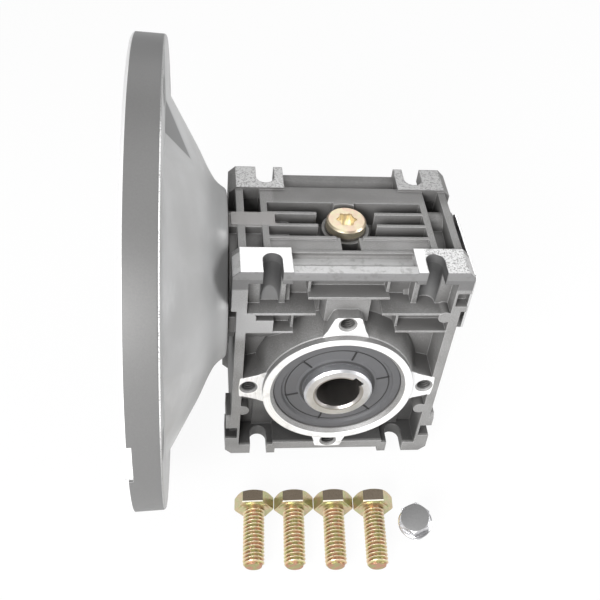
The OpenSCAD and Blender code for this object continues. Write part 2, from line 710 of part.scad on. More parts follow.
module front_bearing_cage() {
    color("peru") at_front_bearing() bearing_cage(hub_d, obrg_od, obrg_w, obrg_ball, obrg_balls);
}
module rear_bearing_outer_ring() {
    color("lightsteelblue") at_rear_bearing() bearing_outer(hub_d, obrg_od, obrg_w, obrg_ball);
}
module rear_bearing_inner_ring() {
    color("lightsteelblue") at_rear_bearing() bearing_inner(hub_d, obrg_od, obrg_w, obrg_ball);
}
module rear_bearing_balls() {
    color("white") at_rear_bearing() bearing_balls(hub_d, obrg_od, obrg_w, obrg_ball, obrg_balls);
}
module rear_bearing_cage() {
    color("peru") at_rear_bearing() bearing_cage(hub_d, obrg_od, obrg_w, obrg_ball, obrg_balls);
}
module input_bearing_outer_ring() {
    color("lightsteelblue") at_input_bearing() bearing_outer(sleeve_d, ibrg_od, ibrg_w, ibrg_ball);
}
module input_bearing_inner_ring() {
    color("lightsteelblue") at_input_bearing() bearing_inner(sleeve_d, ibrg_od, ibrg_w, ibrg_ball);
}
module input_bearing_balls() {
    color("white") at_input_bearing() bearing_balls(sleeve_d, ibrg_od, ibrg_w, ibrg_ball, ibrg_balls);
}
module input_bearing_cage() {
    color("peru") at_input_bearing() bearing_cage(sleeve_d, ibrg_od, ibrg_w, ibrg_ball, ibrg_balls);
}
module end_bearing_outer_ring() {
    color("lightsteelblue") at_end_bearing() bearing_outer(journal_d, ebrg_od, ebrg_w, ebrg_ball);
}
module end_bearing_inner_ring() {
    color("lightsteelblue") at_end_bearing() bearing_inner(journal_d, ebrg_od, ebrg_w, ebrg_ball);
}
module end_bearing_balls() {
    color("white") at_end_bearing() bearing_balls(journal_d, ebrg_od, ebrg_w, ebrg_ball, ebrg_balls);
}
module end_bearing_cage() {
    color("peru") at_end_bearing() bearing_cage(journal_d, ebrg_od, ebrg_w, ebrg_ball, ebrg_balls);
}

// Lip seal in its own frame: axis Z, from 0 inside to w outside
module lip_seal(shaft_r, bore_r, w, nibs) {
    lip_r = shaft_r + run_gap;
    face = w - 0.9;
    difference() {
        union() {
            rotate_extrude() polygon([
                [bore_r, 0.4], [bore_r - 0.4, 0], [bore_r - 1.8, 0], [bore_r - 1.8, w - 2.6],
                [shaft_r + 3, w - 2.6], [shaft_r + 2.4, 1.2], [shaft_r + 1.4, 0.6], [lip_r, 1.6],
                [lip_r, 2.2], [shaft_r + 0.9, 3.2], [shaft_r + 0.9, face - 0.6], [lip_r, face],
                [lip_r, face + 0.4], [shaft_r + 2, face + 0.2], [shaft_r + 2.4, face],
                [bore_r - 3.4, face], [bore_r - 2.8, w], [bore_r - 0.4, w], [bore_r, w - 0.4]
            ]);
            for (k = [0 : nibs - 1]) rotate(360 / nibs * k + 15)
                translate([shaft_r + 2.2, -0.25, face - 0.2]) cube([bore_r - shaft_r - 6, 0.5, 0.5]);
        }
        // Bead line pressed into the face
        rotate_extrude() translate([bore_r - 4.4, face]) square([0.35, 0.35], center = true);
    }
}
module seal_spring(shaft_r) {
    rotate_extrude() translate([shaft_r + 3.2, 2]) circle(0.55, $fn = 24);
}
module at_front_seal() {
    translate([0, -brg_out_y, 0]) rotate([90, 0, 0]) children();
}
module at_rear_seal() {
    translate([0, brg_out_y, 0]) rotate([-90, 0, 0]) children();
}
module at_input_seal() {
    translate([seal_in_x, 0, worm_z]) rotate([0, -90, 0]) children();
}
module front_output_seal() {
    color("dimgray") at_front_seal() lip_seal(hub_d / 2, obrg_od / 2, oseal_w, 6);
}
module rear_output_seal() {
    color("dimgray") at_rear_seal() lip_seal(hub_d / 2, obrg_od / 2, oseal_w, 6);
}
module output_seal_springs() {
    color("gainsboro") {
        at_front_seal() seal_spring(hub_d / 2);
        at_rear_seal() seal_spring(hub_d / 2);
    }
}
module input_seal() {
    color("dimgray") at_input_seal() rotate_extrude() polygon([
        [ibrg_od / 2, 0], [ibrg_od / 2 - 1.4, 0], [ibrg_od / 2 - 1.4, iseal_w - 1.6],
        [sleeve_d / 2 + 1.6, iseal_w - 1.6], [sleeve_d / 2 + run_gap, 1.4], [sleeve_d / 2 + run_gap, 2],
        [sleeve_d / 2 + 0.8, iseal_w - 1.2], [sleeve_d / 2 + run_gap, iseal_w], [ibrg_od / 2, iseal_w]
    ]);
}

// Worm with its hollow, keyed input end
// Cross section of the single start thread: tip arc, flank, root arc, flank
tip_half_deg = (tooth_w / 2 - gear_module * flank_tan) / worm_pitch * 360;
root_half_deg = tip_half_deg + (worm_tip_r - worm_root_r) * flank_tan / worm_pitch * 360;
function worm_points() = concat(
    [for (k = [-3 : 3]) worm_tip_r * [cos(k * tip_half_deg / 3), sin(k * tip_half_deg / 3)]],
    [for (k = [1 : 3]) flank_point(k / 4)],
    [for (k = [0 : 4]) let (a = root_half_deg + k * (180 - root_half_deg) / 2) worm_root_r *
            [cos(a), sin(a)]],
    [for (k = [3 : -1 : 1]) let (p = flank_point(k / 4)) [p[0], -p[1]]]
);
function flank_point(t) =
    let (a = tip_half_deg + t * (root_half_deg - tip_half_deg),
            r = worm_tip_r + t * (worm_root_r - worm_tip_r))
    r * [cos(a), sin(a)];
module worm_thread() {
    turns = worm_len / worm_pitch;
    translate([-worm_len / 2, 0, worm_z]) rotate([0, 90, 0]) rotate([0, 0, -360 * turns / 2])
        linear_extrude(worm_len, twist = -360 * turns, slices = ceil(turns * 14),
                $fn = 20) polygon(worm_points());
}
module worm_shaft() {
    key_reach = input_bore_d / 2 + key_h;
    bore_end_x = -19;
    color("lightgray") difference() {
        union() {
            worm_thread();
            rod_x(sleeve_d / 2, flange_seat_x - sleeve_reach, input_stop_x + eps, worm_z);
            rod_x(collar_r, input_stop_x, input_stop_x + 3, worm_z);
            rod_x(sleeve_d / 2 - 1.6, input_stop_x + 2, -worm_len / 2 - 1, worm_z);
            rod_x(worm_root_r + 0.15, -worm_len / 2 - 2, worm_len / 2 + 2, worm_z);
            rod_x(journal_d / 2 + 1.6, worm_len / 2 + 1, end_stop_x, worm_z);
            rod_x(journal_d / 2, end_stop_x - eps, end_brg_x + circlip_t, worm_z);
        }
        rod_x(input_bore_d / 2, -motor_face_x, bore_end_x, worm_z);
        slab([-motor_face_x, bore_end_x - 2], [-key_w / 2, key_w / 2], [worm_z, worm_z + key_reach]);
        // Groove of the shaft circlip
        ring_on_x(sleeve_d, sleeve_d / 2 - 0.7, seal_in_x, seal_in_x + circlip_t);
    }
}

// Circlip in its own frame: axis Z, from 0 to its thickness, with a gap on +Y
module circlip(r_in, r_out, gap) {
    difference() {
        cylinder(r = r_out, h = circlip_t - 2 * run_gap);
        translate([0, 0, -eps]) cylinder(r = r_in, h = circlip_t);
        translate([-gap / 2, 0, -eps]) cube([gap, r_out + 1, circlip_t]);
    }
}
module input_bearing_circlip() {
    color("dimgray") translate([seal_in_x + run_gap, 0, worm_z]) rotate([0, 90, 0])
        circlip(ibrg_od / 2 - 1.7, ibrg_od / 2 + 0.7, 8);
}
module worm_shaft_circlip() {
    color("dimgray") translate([seal_in_x + run_gap, 0, worm_z]) rotate([0, 90, 0])
        circlip(sleeve_d / 2 - 0.7, sleeve_d / 2 + 1.5, 6);
}
module end_bearing_circlip() {
    color("dimgray") translate([end_brg_x + run_gap, 0, worm_z]) rotate([0, 90, 0])
        circlip(ebrg_od / 2 - 2.4, ebrg_od / 2 + 0.7, 8);
}
module end_cap() {
    color("black") turned_x() polygon([
        [0, end_face_x - end_cap_t + 1.2], [ebrg_od / 2 - 2, end_face_x - end_cap_t + 1.2],
        [ebrg_od / 2 - 2, end_face_x - end_cap_t], [ebrg_od / 2 - 0.4, end_face_x - end_cap_t],
        [ebrg_od / 2, end_face_x - end_cap_t + 0.4], [ebrg_od / 2, end_face_x - 0.4],
        [ebrg_od / 2 - 0.4, end_face_x], [ebrg_od / 2 - 3, end_face_x],
        [ebrg_od / 2 - 4, end_face_x - 0.8], [0, end_face_x - 0.8]
    ]);
}

// Bell that carries the motor
module bell_profile() {
    rim_r = flange_r - rim_draft;
    floor_r = cone_tip_r - 3;
    inner_root_r = cone_root_r - cone_wall;
    polygon(concat(
        [[pilot_d / 2, -motor_face_x], [flange_r - 1, -motor_face_x], [flange_r, -motor_face_x + 1]],
        [for (a = [0 : 22.5 : 90])
            [rim_r - rim_round + rim_round * cos(a), rim_back_x - rim_round + rim_round * sin(a)]],
        [[cone_root_r + 1.5, rim_back_x], [cone_root_r, rim_back_x + 0.5]],
        [[cone_tip_r + 3.6, cone_end_x], [cone_tip_r + 0.8, cone_end_x + 2.2],
         [cone_tip_r, gasket_x - 1], [cone_tip_r - 0.8, gasket_x]],
        [[ibrg_od / 2 - run_gap, gasket_x], [ibrg_od / 2 - run_gap, register_x],
         [sleeve_hole_r, register_x], [sleeve_hole_r, bell_floor_x],
         [floor_r, bell_floor_x], [inner_root_r, rim_back_x + 1],
         [inner_root_r, -motor_face_x + pilot_depth], [pilot_d / 2, -motor_face_x + pilot_depth]]
    ));
}
// V pocket that gives a spanner room at a bolt head
module bolt_pocket() {
    valley_r = cone_root_r - 4.5;
    valley_tilt = 51;
    intersection() {
        translate([rim_back_x, 0, worm_z + valley_r]) rotate([0, valley_tilt, 0])
            translate([-20, 0, 0]) side_view(0, 60) polygon([[0, 0], [40, 6], [40, 60], [-40, 60],
                    [-40, 6]]);
        slab([rim_back_x, 0], [-40, 40], [worm_z, worm_z + 2 * cone_root_r]);
    }
}
module motor_flange() {
    scallop_r = 32;
    color("gainsboro") difference() {
        turned_x() bell_profile();
        quarters_x(0) translate([0, 0, motor_pcd / 2])
            rod_x(motor_hole_d / 2, -motor_face_x - eps, rim_back_x + 1, worm_z);
        quarters_x(0) bolt_pocket();
        quarters_x(0) translate([0, 0, flange_screw_pcd / 2])
            rod_x(screw_d / 2 + 0.25, bell_floor_x - eps, flange_seat_x + eps, worm_z);
        // Scallops between the four screws
        quarters_x(45) translate([flange_seat_x - 2.9 + scallop_r, 0, worm_z + ibrg_od / 2 + 2.6])
            cylinder(r = scallop_r, h = 40);
        // Pry slots across the motor face
        both_y() slab([-motor_face_x - eps, -motor_face_x + pry_slot_depth], [-flange_r - 1,
                -motor_pcd / 2 - motor_hole_d / 2 - 0.6],
            [worm_z - pry_slot_w / 2, worm_z + pry_slot_w / 2]);
    }
}
module motor_flange_screws() {
    color("dimgray") quarters_x(0) translate([bell_floor_x, 0, worm_z + flange_screw_pcd / 2])
        rotate([0, -90, 0]) socket_screw(16);
}
module motor_flange_gasket() {
    color("black") difference() {
        union() {
            rod_x(ibrg_od / 2 + cast_wall - 0.6, gasket_x, flange_seat_x, worm_z);
            quarters_x(0) hull() {
                translate([0, 0, flange_screw_pcd / 2]) rod_x(3.6, gasket_x, flange_seat_x, worm_z);
                translate([0, 0, flange_screw_pcd / 2 - 6]) rod_x(4.4, gasket_x, flange_seat_x, worm_z);
            }
        }
        rod_x(ibrg_od / 2 + 0.3, gasket_x - eps, flange_seat_x + eps, worm_z);
        quarters_x(0) translate([0, 0, flange_screw_pcd / 2])
            rod_x(screw_d / 2 + 0.3, gasket_x - eps, flange_seat_x + eps, worm_z);
    }
}

// Oil plug with a six lobe socket
module thread_profile(r, pitch, z0, z1) {
    turns = floor((z1 - z0) / pitch);
    depth = 0.54 * pitch;
    polygon(concat(
        [[0, z0], [r - depth, z0]],
        [for (k = [0 : turns - 1]) for (p = [[0.1, depth], [0.42, 0], [0.58, 0], [0.9, depth]])
            [r - p[1], z0 + (k + p[0]) * pitch]],
        [[r - depth, z1], [0, z1]]
    ));
}
module oil_plug() {
    color("khaki") difference() {
        union() {
            translate([0, 0, plug_top_z - plug_head_h]) cylinder(d = plug_head_d, h = plug_head_h - 0.6);
            translate([0, 0, plug_top_z - 0.6]) cylinder(d1 = plug_head_d, d2 = plug_head_d - 1.2,
                    h = 0.6);
            translate([0, 0, worm_z + gallery_r + 0.6])
                cylinder(d = plug_thread_d, h = plug_top_z - plug_head_h - worm_z - gallery_r);
        }
        translate([0, 0, plug_top_z - 3]) {
            cylinder(r = 2.9, h = 4);
            for (k = [0 : 5]) rotate(60 * k) translate([2.75, 0, 0]) cylinder(r = 0.85, h = 4);
        }
    }
}
module oil_plug_washer() {
    color("black") translate([0, 0, plug_seat_z()]) difference() {
        cylinder(r = plug_head_d / 2 + 0.3, h = 1);
        translate([0, 0, -eps]) cylinder(d = plug_thread_d, h = 2);
    }
}

// Bare plate on the end of the housing
function plate_y() = -side_y + 1;
function plate_z() = axis_to_top - 3 - plate_h;
function plate_rivet_y(k) = k == 0 ? plate_y() + 3.4 : plate_y() + plate_len - 3.4;
function plate_rivet_z() = plate_z() + plate_h - 4.6;
module nameplate() {
    cut = 3;
    color("gainsboro") difference() {
        side_view(side_x, side_x + plate_t) translate([plate_y(), plate_z()]) polygon([
            [cut, 0], [plate_len - cut, 0], [plate_len, cut], [plate_len, plate_h - cut],
            [plate_len - cut, plate_h], [cut / 2, plate_h], [0, plate_h - cut / 2], [0, cut]
        ]);
        for (k = [0, 1]) translate([0, plate_rivet_y(k), 0]) rod_x(1, side_x - eps, side_x + 2,
                plate_rivet_z());
    }
}
module nameplate_rivets() {
    color("lightgray") for (k = [0, 1]) translate([0, plate_rivet_y(k), 0]) {
        rod_x(0.9, side_x - 3.6, side_x + plate_t, plate_rivet_z());
        translate([side_x + plate_t, 0, plate_rivet_z()]) rotate([0, 90, 0]) cylinder(r1 = 1.8,
                r2 = 1.1, h = 0.7);
    }
}

// Motor bolt along +X, with the underside of its head at 0
module motor_bolt() {
    rotate([0, 90, 0]) {
        difference() {
            translate([0, 0, -bolt_head_h]) rotate(30) cylinder(d = bolt_ac, h = bolt_head_h, $fn = 6);
            translate([0, 0, -bolt_head_h]) rotate_extrude() polygon([
                [bolt_af / 2, -eps], [bolt_ac, -eps], [bolt_ac, (bolt_ac - bolt_af / 2) * tan(30)]
            ]);
        }
        translate([0, 0, -1]) cylinder(r = bolt_d / 2 - 0.54 * bolt_pitch, h = 1.5);
        rotate_extrude() thread_profile(bolt_d / 2, bolt_pitch, 0, bolt_len);
    }
}
module on_floor(x, y, turn) {
    translate([x, y, floor_z(x)]) rotate([0, -rest_tilt, 0]) rotate([0, 0, turn]) children();
}
module motor_bolts() {
    color("khaki") for (k = [-1.5 : 1 : 1.5])
        on_floor(bolt_row_x + k * bolt_row * cos(bolt_row_turn),
                bolt_row_y + k * bolt_row * sin(bolt_row_turn), bolt_turn)
            translate([0, 0, bolt_af / 2 / cos(bolt_lie) - 0.02]) rotate([0, bolt_lie, 0]) motor_bolt();
}
module breather_plug() {
    hex_af = 10;
    thread_len = 6;
    lean = 14;
    color("white") on_floor(breather_x, breather_y, -115)
        translate([0, 0, plug_thread_d / 2 * sin(lean) - 0.15]) rotate([0, lean, 0]) rotate([0, 0, 12]) {
            rotate_extrude() thread_profile(plug_thread_d / 2, 0.907, 0, thread_len);
            translate([0, 0, thread_len]) cylinder(d = 12.4, h = 1.4);
            translate([0, 0, thread_len + 1.4]) intersection() {
                cylinder(d = hex_af / cos(30), h = 5, $fn = 6);
                cylinder(r1 = hex_af / 2 + 5, r2 = hex_af / 2 - 0.2, h = 5);
            }
        }
}

housing();
side_cover();
side_cover_screws();
side_cover_oring();
output_hub();
worm_wheel_rim();
front_bearing_outer_ring();
front_bearing_inner_ring();
front_bearing_balls();
front_bearing_cage();
rear_bearing_outer_ring();
rear_bearing_inner_ring();
rear_bearing_balls();
rear_bearing_cage();
front_output_seal();
rear_output_seal();
output_seal_springs();
worm_shaft();
input_bearing_outer_ring();
input_bearing_inner_ring();
input_bearing_balls();
input_bearing_cage();
end_bearing_outer_ring();
end_bearing_inner_ring();
end_bearing_balls();
end_bearing_cage();
input_seal();
input_bearing_circlip();
worm_shaft_circlip();
end_bearing_circlip();
end_cap();
motor_flange();
motor_flange_screws();
motor_flange_gasket();
oil_plug();
oil_plug_washer();
nameplate();
nameplate_rivets();
motor_bolts();
breather_plug();
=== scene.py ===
# %% [markdown]
# A worm gear reducer, dressed for its portrait.
# The solids of the reducer arrive ready made, as a frame that stays where it is.
# This lesson gives each of them a finish, and it rebuilds by hand the few pieces
# whose surface a plain solid can't carry: the flowing bell of the motor flange,
# and the loose bolts and the breather plug with their helical threads.

# %% Load the frame
import json
from math import atan2, cos, degrees, hypot, pi, radians, sin, tan

import bmesh
import bpy
from mathutils import Matrix, Vector

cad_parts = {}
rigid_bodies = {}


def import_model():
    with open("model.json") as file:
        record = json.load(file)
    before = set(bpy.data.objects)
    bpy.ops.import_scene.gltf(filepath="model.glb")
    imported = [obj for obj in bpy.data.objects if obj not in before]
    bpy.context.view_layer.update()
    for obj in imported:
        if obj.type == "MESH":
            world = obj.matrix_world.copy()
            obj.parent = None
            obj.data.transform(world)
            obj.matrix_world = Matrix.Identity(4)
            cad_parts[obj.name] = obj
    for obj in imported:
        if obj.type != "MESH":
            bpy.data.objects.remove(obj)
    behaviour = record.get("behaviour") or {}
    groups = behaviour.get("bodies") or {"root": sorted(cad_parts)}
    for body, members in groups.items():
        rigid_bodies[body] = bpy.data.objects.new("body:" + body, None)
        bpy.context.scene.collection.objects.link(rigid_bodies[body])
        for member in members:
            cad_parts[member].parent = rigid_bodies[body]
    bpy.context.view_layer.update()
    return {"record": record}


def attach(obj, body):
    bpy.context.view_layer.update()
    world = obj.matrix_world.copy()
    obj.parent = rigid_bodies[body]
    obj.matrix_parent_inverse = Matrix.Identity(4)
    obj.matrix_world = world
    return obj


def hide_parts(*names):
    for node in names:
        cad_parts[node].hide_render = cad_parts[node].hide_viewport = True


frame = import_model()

MM = 0.001

# %% [markdown]
# The camera stands where the photographer stood: above the front, looking down
# about 44 degrees, and leaning a little. The three turns below give the
# direction of view; the right and up directions follow from them.

# %% Camera
VIEW_YAW, VIEW_PITCH, VIEW_ROLL = 0.1678, -0.7717, 0.1200
CAMERA_PLACE = (-52.93, -236.90, 250.65)
FOCAL_PIXELS, FRAME_PIXELS, SENSOR_MM = 897.94, 600, 36
look = Vector((sin(VIEW_YAW) * cos(VIEW_PITCH), cos(VIEW_YAW) * cos(VIEW_PITCH), sin(VIEW_PITCH)))
level = Vector((cos(VIEW_YAW), -sin(VIEW_YAW), 0))
upward = level.cross(look)
right = cos(VIEW_ROLL) * level + sin(VIEW_ROLL) * upward
above = cos(VIEW_ROLL) * upward - sin(VIEW_ROLL) * level
facing = Matrix((right, above, -look)).transposed().to_4x4()
camera = bpy.data.objects.new("camera", bpy.data.cameras.new("camera"))
bpy.context.scene.collection.objects.link(camera)
camera.matrix_world = Matrix.Translation(Vector(CAMERA_PLACE) * MM) @ facing
camera.data.sensor_width = SENSOR_MM
camera.data.lens = FOCAL_PIXELS * SENSOR_MM / FRAME_PIXELS
camera.data.clip_start = 0.01
bpy.context.scene.camera = camera
print("lens in mm", round(camera.data.lens, 2))

# %% [markdown]
# Shader maths reads best as ordinary sums. A Wire holds one shader socket, and
# every sign written between two wires adds the Math node that does it. A Tree
# adds all other nodes, for a material or for the world.

# %% Wires and trees
class Wire:
    def __init__(self, tree, socket):
        self.tree, self.socket = tree, socket

    def math(self, operation, *values):
        """A Math node on the values, of which this wire is one."""
        return self.tree.node("Math", {"operation": operation}, dict(enumerate(values)))

    def __add__(self, other): return self.math("ADD", self, other)
    def __radd__(self, other): return self.math("ADD", other, self)
    def __sub__(self, other): return self.math("SUBTRACT", self, other)
    def __rsub__(self, other): return self.math("SUBTRACT", other, self)
    def __mul__(self, other): return self.math("MULTIPLY", self, other)
    def __rmul__(self, other): return self.math("MULTIPLY", other, self)
    def __pow__(self, other): return self.math("POWER", self, other)
    def abs(self): return self.math("ABSOLUTE", self)
    def sine(self): return self.math("SINE", self)
    def fraction(self): return self.math("FRACT", self)
    def max(self, other): return self.math("MAXIMUM", self, other)
    def min(self, other): return self.math("MINIMUM", self, other)

    def fit(self, low, high, to_low=0.0, to_high=1.0):
        """Map low..high to to_low..to_high with soft ends."""
        return self.tree.node("MapRange", {"interpolation_type": "SMOOTHSTEP"},
                              {"Value": self, "From Min": low, "From Max": high,
                               "To Min": to_low, "To Max": to_high})


class Tree:
    def __init__(self, owner):
        owner.use_nodes = True
        self.owner, self.nodes, self.links = owner, owner.node_tree.nodes, owner.node_tree.links

    def node(self, kind, settings=None, inputs=None, out=0):
        made = self.nodes.new("ShaderNode" + kind)
        for key, value in (settings or {}).items():
            setattr(made, key, value)
        for key, value in (inputs or {}).items():
            if isinstance(value, Wire):
                self.links.new(value.socket, made.inputs[key])
            else:
                made.inputs[key].default_value = value
        return Wire(self, made.outputs[out])

    def ray(self, kind):
        """1 for the rays of one kind, such as Camera, and 0 for all others."""
        return self.node("LightPath", out=f"Is {kind} Ray")

    def show(self, kind, surface):
        """Send a shader to a new output node."""
        made = self.nodes.new("ShaderNode" + kind)
        self.links.new(surface.socket, made.inputs["Surface"])


# %% [markdown]
# A Finish is one material. It knows the place of each point on a piece in
# millimetres, so that a mark can be put where the real piece has it, and it
# lays one colour over the other as a painter does, from the base upwards.

# %% Finishes
MM_IN_A_METRE = 1000.0


class Finish(Tree):
    def __init__(self, name, **fixed):
        super().__init__(bpy.data.materials.new(name))
        self.shader = self.nodes["Principled BSDF"]
        self.objects = self.node("TexCoord", out="Object")
        for key, value in fixed.items():
            self.shader.inputs[key.replace("_", " ")].default_value = value

    def xyz(self):
        """The place on the surface in millimetres, as three wires."""
        parts = self.node("SeparateXYZ", inputs={0: self.objects})
        return [Wire(self, out) * MM_IN_A_METRE for out in parts.socket.node.outputs]

    def noise(self, grain_mm, detail=3.0, rough=0.55, stretch=(1, 1, 1)):
        """Noise whose spots are about grain_mm across."""
        place = self.node("VectorMath", {"operation": "MULTIPLY"}, {0: self.objects, 1: stretch})
        return self.node("TexNoise", {}, {"Vector": place, "Scale": MM_IN_A_METRE / grain_mm,
                                         "Detail": detail, "Roughness": rough})

    def mix(self, factor, low, high):
        """Blend two colours, or two numbers, which count as greys."""
        ends = []
        for end in (low, high):
            if isinstance(end, (int, float)):
                end = (end,) * 3
            ends.append(end if isinstance(end, Wire) else (*end, 1.0))
        return self.node("Mix", {"data_type": "RGBA"}, {0: factor, 6: ends[0], 7: ends[1]}, out=2)

    def layers(self, base, *coats):
        """Lay colours over a base, each as far as its mask lets it show."""
        for mask, colour in coats:
            base = self.mix(mask, base, colour)
        return base

    def rounded(self, radius_mm):
        """Normals that look as if every edge had a small radius."""
        return self.node("Bevel", {"samples": 6}, {"Radius": radius_mm * MM})

    def edges(self, radius_mm):
        """1 on sharp edges, 0 on flat places."""
        flat = self.node("NewGeometry", out="True Normal")
        bend = self.node("VectorMath", {"operation": "DOT_PRODUCT"},
                         {0: self.rounded(radius_mm), 1: flat}, out="Value")
        return (1.0 - bend).fit(0.02, 0.25)

    def bump(self, height, depth_mm, normal, strength):
        return self.node("Bump", {}, {"Height": height, "Distance": depth_mm * MM,
                                      "Strength": strength, "Normal": normal})

    def use(self, **wires):
        for key, value in wires.items():
            self.links.new(value.socket, self.shader.inputs[key.replace("_", " ")])
        return self.owner


def grey(value, tint=(1, 1, 1)):
    """A linear colour from an 8 bit grey as it should look on screen."""
    linear = ((value / 255 + 0.055) / 1.055) ** 2.4
    return tuple(linear * t for t in tint)


# %% [markdown]
# The housing is an aluminium casting, shot blasted so that it glitters softly,
# and only its pads, rings and lugs are milled. Where the mills went follows
# from the shape of the housing: a mask is 1 there and 0 on the cast skin. Most
# of the soft steps between the two are about a tenth of a millimetre wide.

# %% Milled places of the casting
PAD_TOP_Z, PAD_BASE_Z = 56.9, -39.9
RING_FACE_Y, RING_R = 30.2, 30.0
LUG_FACE_Y, LUG_IN_R, LUG_OUT_R = 28.0, 27.4, 36.0
LUG_ROOT_R, LUG_ROOT_HALF, LUG_TAPER = 28.0, 7.9, 0.38
TAPPED_CIRCLE_R, TAPPED_R_SQUARED, TAPPED_PITCH = 32.5, 6.65, 1.0


def milled_places(x, y, z):
    """Masks of the rings, of the lugs, of the threads in their holes, and of the pads."""
    radius, front = (x * x + z * z) ** 0.5, y.abs()
    nearest, farthest = x.abs().min(z.abs()), x.abs().max(z.abs())
    ring = front.fit(RING_FACE_Y, RING_FACE_Y + 0.15) * radius.fit(RING_R, RING_R - 1.0)
    half_width = LUG_ROOT_HALF - (radius - LUG_ROOT_R) * LUG_TAPER
    lugs = (front.fit(LUG_FACE_Y - 0.07, LUG_FACE_Y - 0.03) * front.fit(LUG_FACE_Y + 0.1, LUG_FACE_Y + 0.04)
            * radius.fit(LUG_OUT_R + 0.05, LUG_OUT_R - 0.05)
            * radius.fit(LUG_IN_R - 0.1, LUG_IN_R + 0.05) * (half_width - nearest).fit(-0.05, 0.1))
    beyond = farthest - TAPPED_CIRCLE_R
    inside = (nearest * nearest + beyond * beyond).fit(TAPPED_R_SQUARED + 0.25, TAPPED_R_SQUARED - 0.25)
    tapped = inside * front.fit(LUG_FACE_Y - 0.1, LUG_FACE_Y - 0.3)
    thread = (y * (2 * pi / TAPPED_PITCH)).sine() * 0.5 + 0.5
    pads = z.fit(PAD_TOP_Z, PAD_TOP_Z + 0.05).max(z.fit(PAD_BASE_Z, PAD_BASE_Z - 0.05))
    return ring, lugs, tapped * thread, pads


# %% [markdown]
# The blasted skin isn't one grey: stains gather in the channel of the top. The
# lamps of this scene don't draw all of its light and shade, so much of it is
# painted by place: painted shade on the front faces of the rails and pads, in
# the hollows, pockets and slots and on the rear of the top, and painted light in
# the channel and on the left column.

# %% Cast skin
WARM, SHADE_AND_PIT_TINT, COOL = (1.0, 0.99, 0.98), (1.0, 0.98, 0.96), (0.99, 0.99, 1.0)
FRONT_FACE_Y = -27.5
SLOT_X = 27.0
RAIL_TOP_Z, RAIL_BACK_Y = 56.0, -24.0
POCKET_DEPTH = 9.0


def cast_skin(f, x, y, z, blast, cloud, speck):
    face = y.fit(FRONT_FACE_Y, FRONT_FACE_Y - 0.25)
    rails = z.fit(RAIL_TOP_Z, RAIL_TOP_Z + 0.1) * y.fit(RAIL_BACK_Y, RAIL_BACK_Y - 0.2)
    # Channel behind the front rail, which catches the light
    channel = y.fit(-18.0, -18.4) * z.fit(53.2, 53.6)
    # Painted shade on the flat front of the rails and pads, and below it
    # painted light on the left column, lighter towards the bottom
    fronts = face * z.fit(48.5, 49.5)
    column = face * z.fit(49.5, 48.5) * z.fit(24.0, 28.0) * x.fit(-12.0, -20.0)
    # Painted shade on the walls of the open slots in the front edge, darker higher up
    slots = ((x.abs() - SLOT_X).abs().fit(3.7, 3.4) * y.fit(-17.5, -18.5)
             * z.fit(37.95, 38.2) * y.fit(FRONT_FACE_Y - 0.4, FRONT_FACE_Y - 0.1))
    # Painted shade in the pockets of the lower half, behind the front face
    low = z.fit(-16.0, -28.0) * y.fit(-27.3, -26.6) * y.fit(0.0, -4.0)
    # Web at the motor's end of the top, and painted shade on the rear of the top beyond it
    web = y.abs().fit(3.6, 3.3) * x.fit(-23.0, -25.0) * z.fit(52.5, 53.5)
    rear_top = y.fit(6.0, 12.0) * z.fit(46.0, 48.0) * x.fit(-25.5, -24.0)
    stains = f.noise(2.6, 3.0, 0.6).fit(0.52, 0.68) * z.fit(50.0, 52.0) * y.fit(-17.0, -18.0)
    # Ambient occlusion lays painted shade in the hollows of the casting
    hollow = f.node("AmbientOcclusion", {"samples": 8}, {"Distance": POCKET_DEPTH * MM}, out="AO")
    open_skin = f.layers(
        f.mix(cloud.fit(0.3, 0.7), grey(120, (1.0, 0.985, 0.965)), grey(134, WARM)),
        (blast.fit(0.4, 0.7) * 0.6, grey(168, WARM)))
    return f.layers(
        f.mix(hollow.fit(0.25, 0.95), f.mix(cloud, grey(104, SHADE_AND_PIT_TINT), grey(112, SHADE_AND_PIT_TINT)), open_skin),
        ((f.edges(0.5) * 0.5).max(channel * 0.6), grey(210)),
        (rails * speck.fit(0.3, 0.62) * 0.7, grey(196)),
        (fronts * 0.8, grey(98, (1.0, 0.995, 1.0))),
        (stains * 0.35, grey(96, (1.0, 0.98, 0.95))),
        (column * z.fit(46.0, 38.0, 0.25, 0.55), grey(176, COOL)),
        (slots * 0.9, f.mix(z.fit(37.0, 48.0), grey(116), grey(74, COOL))),
        (low * 0.7, grey(52, WARM)),
        (web * 0.7, grey(158, (1.0, 0.965, 0.945))),
        (rear_top * 0.45, grey(88, SHADE_AND_PIT_TINT)))


# %% [markdown]
# Milled faces on aluminium show the casting's pores as dark pits, fewest on the
# near pads, and a face turned on a lathe shows fine rings. A painted highlight
# lightens the near pads, painted shade darkens the far ones, and brownish painted
# reflections lie on the lathed faces. One material joins skin and milled metal,
# and the Bevel node rounds the look of every cast edge.

# %% Cast aluminium
RING_GROOVE_R = 29.6


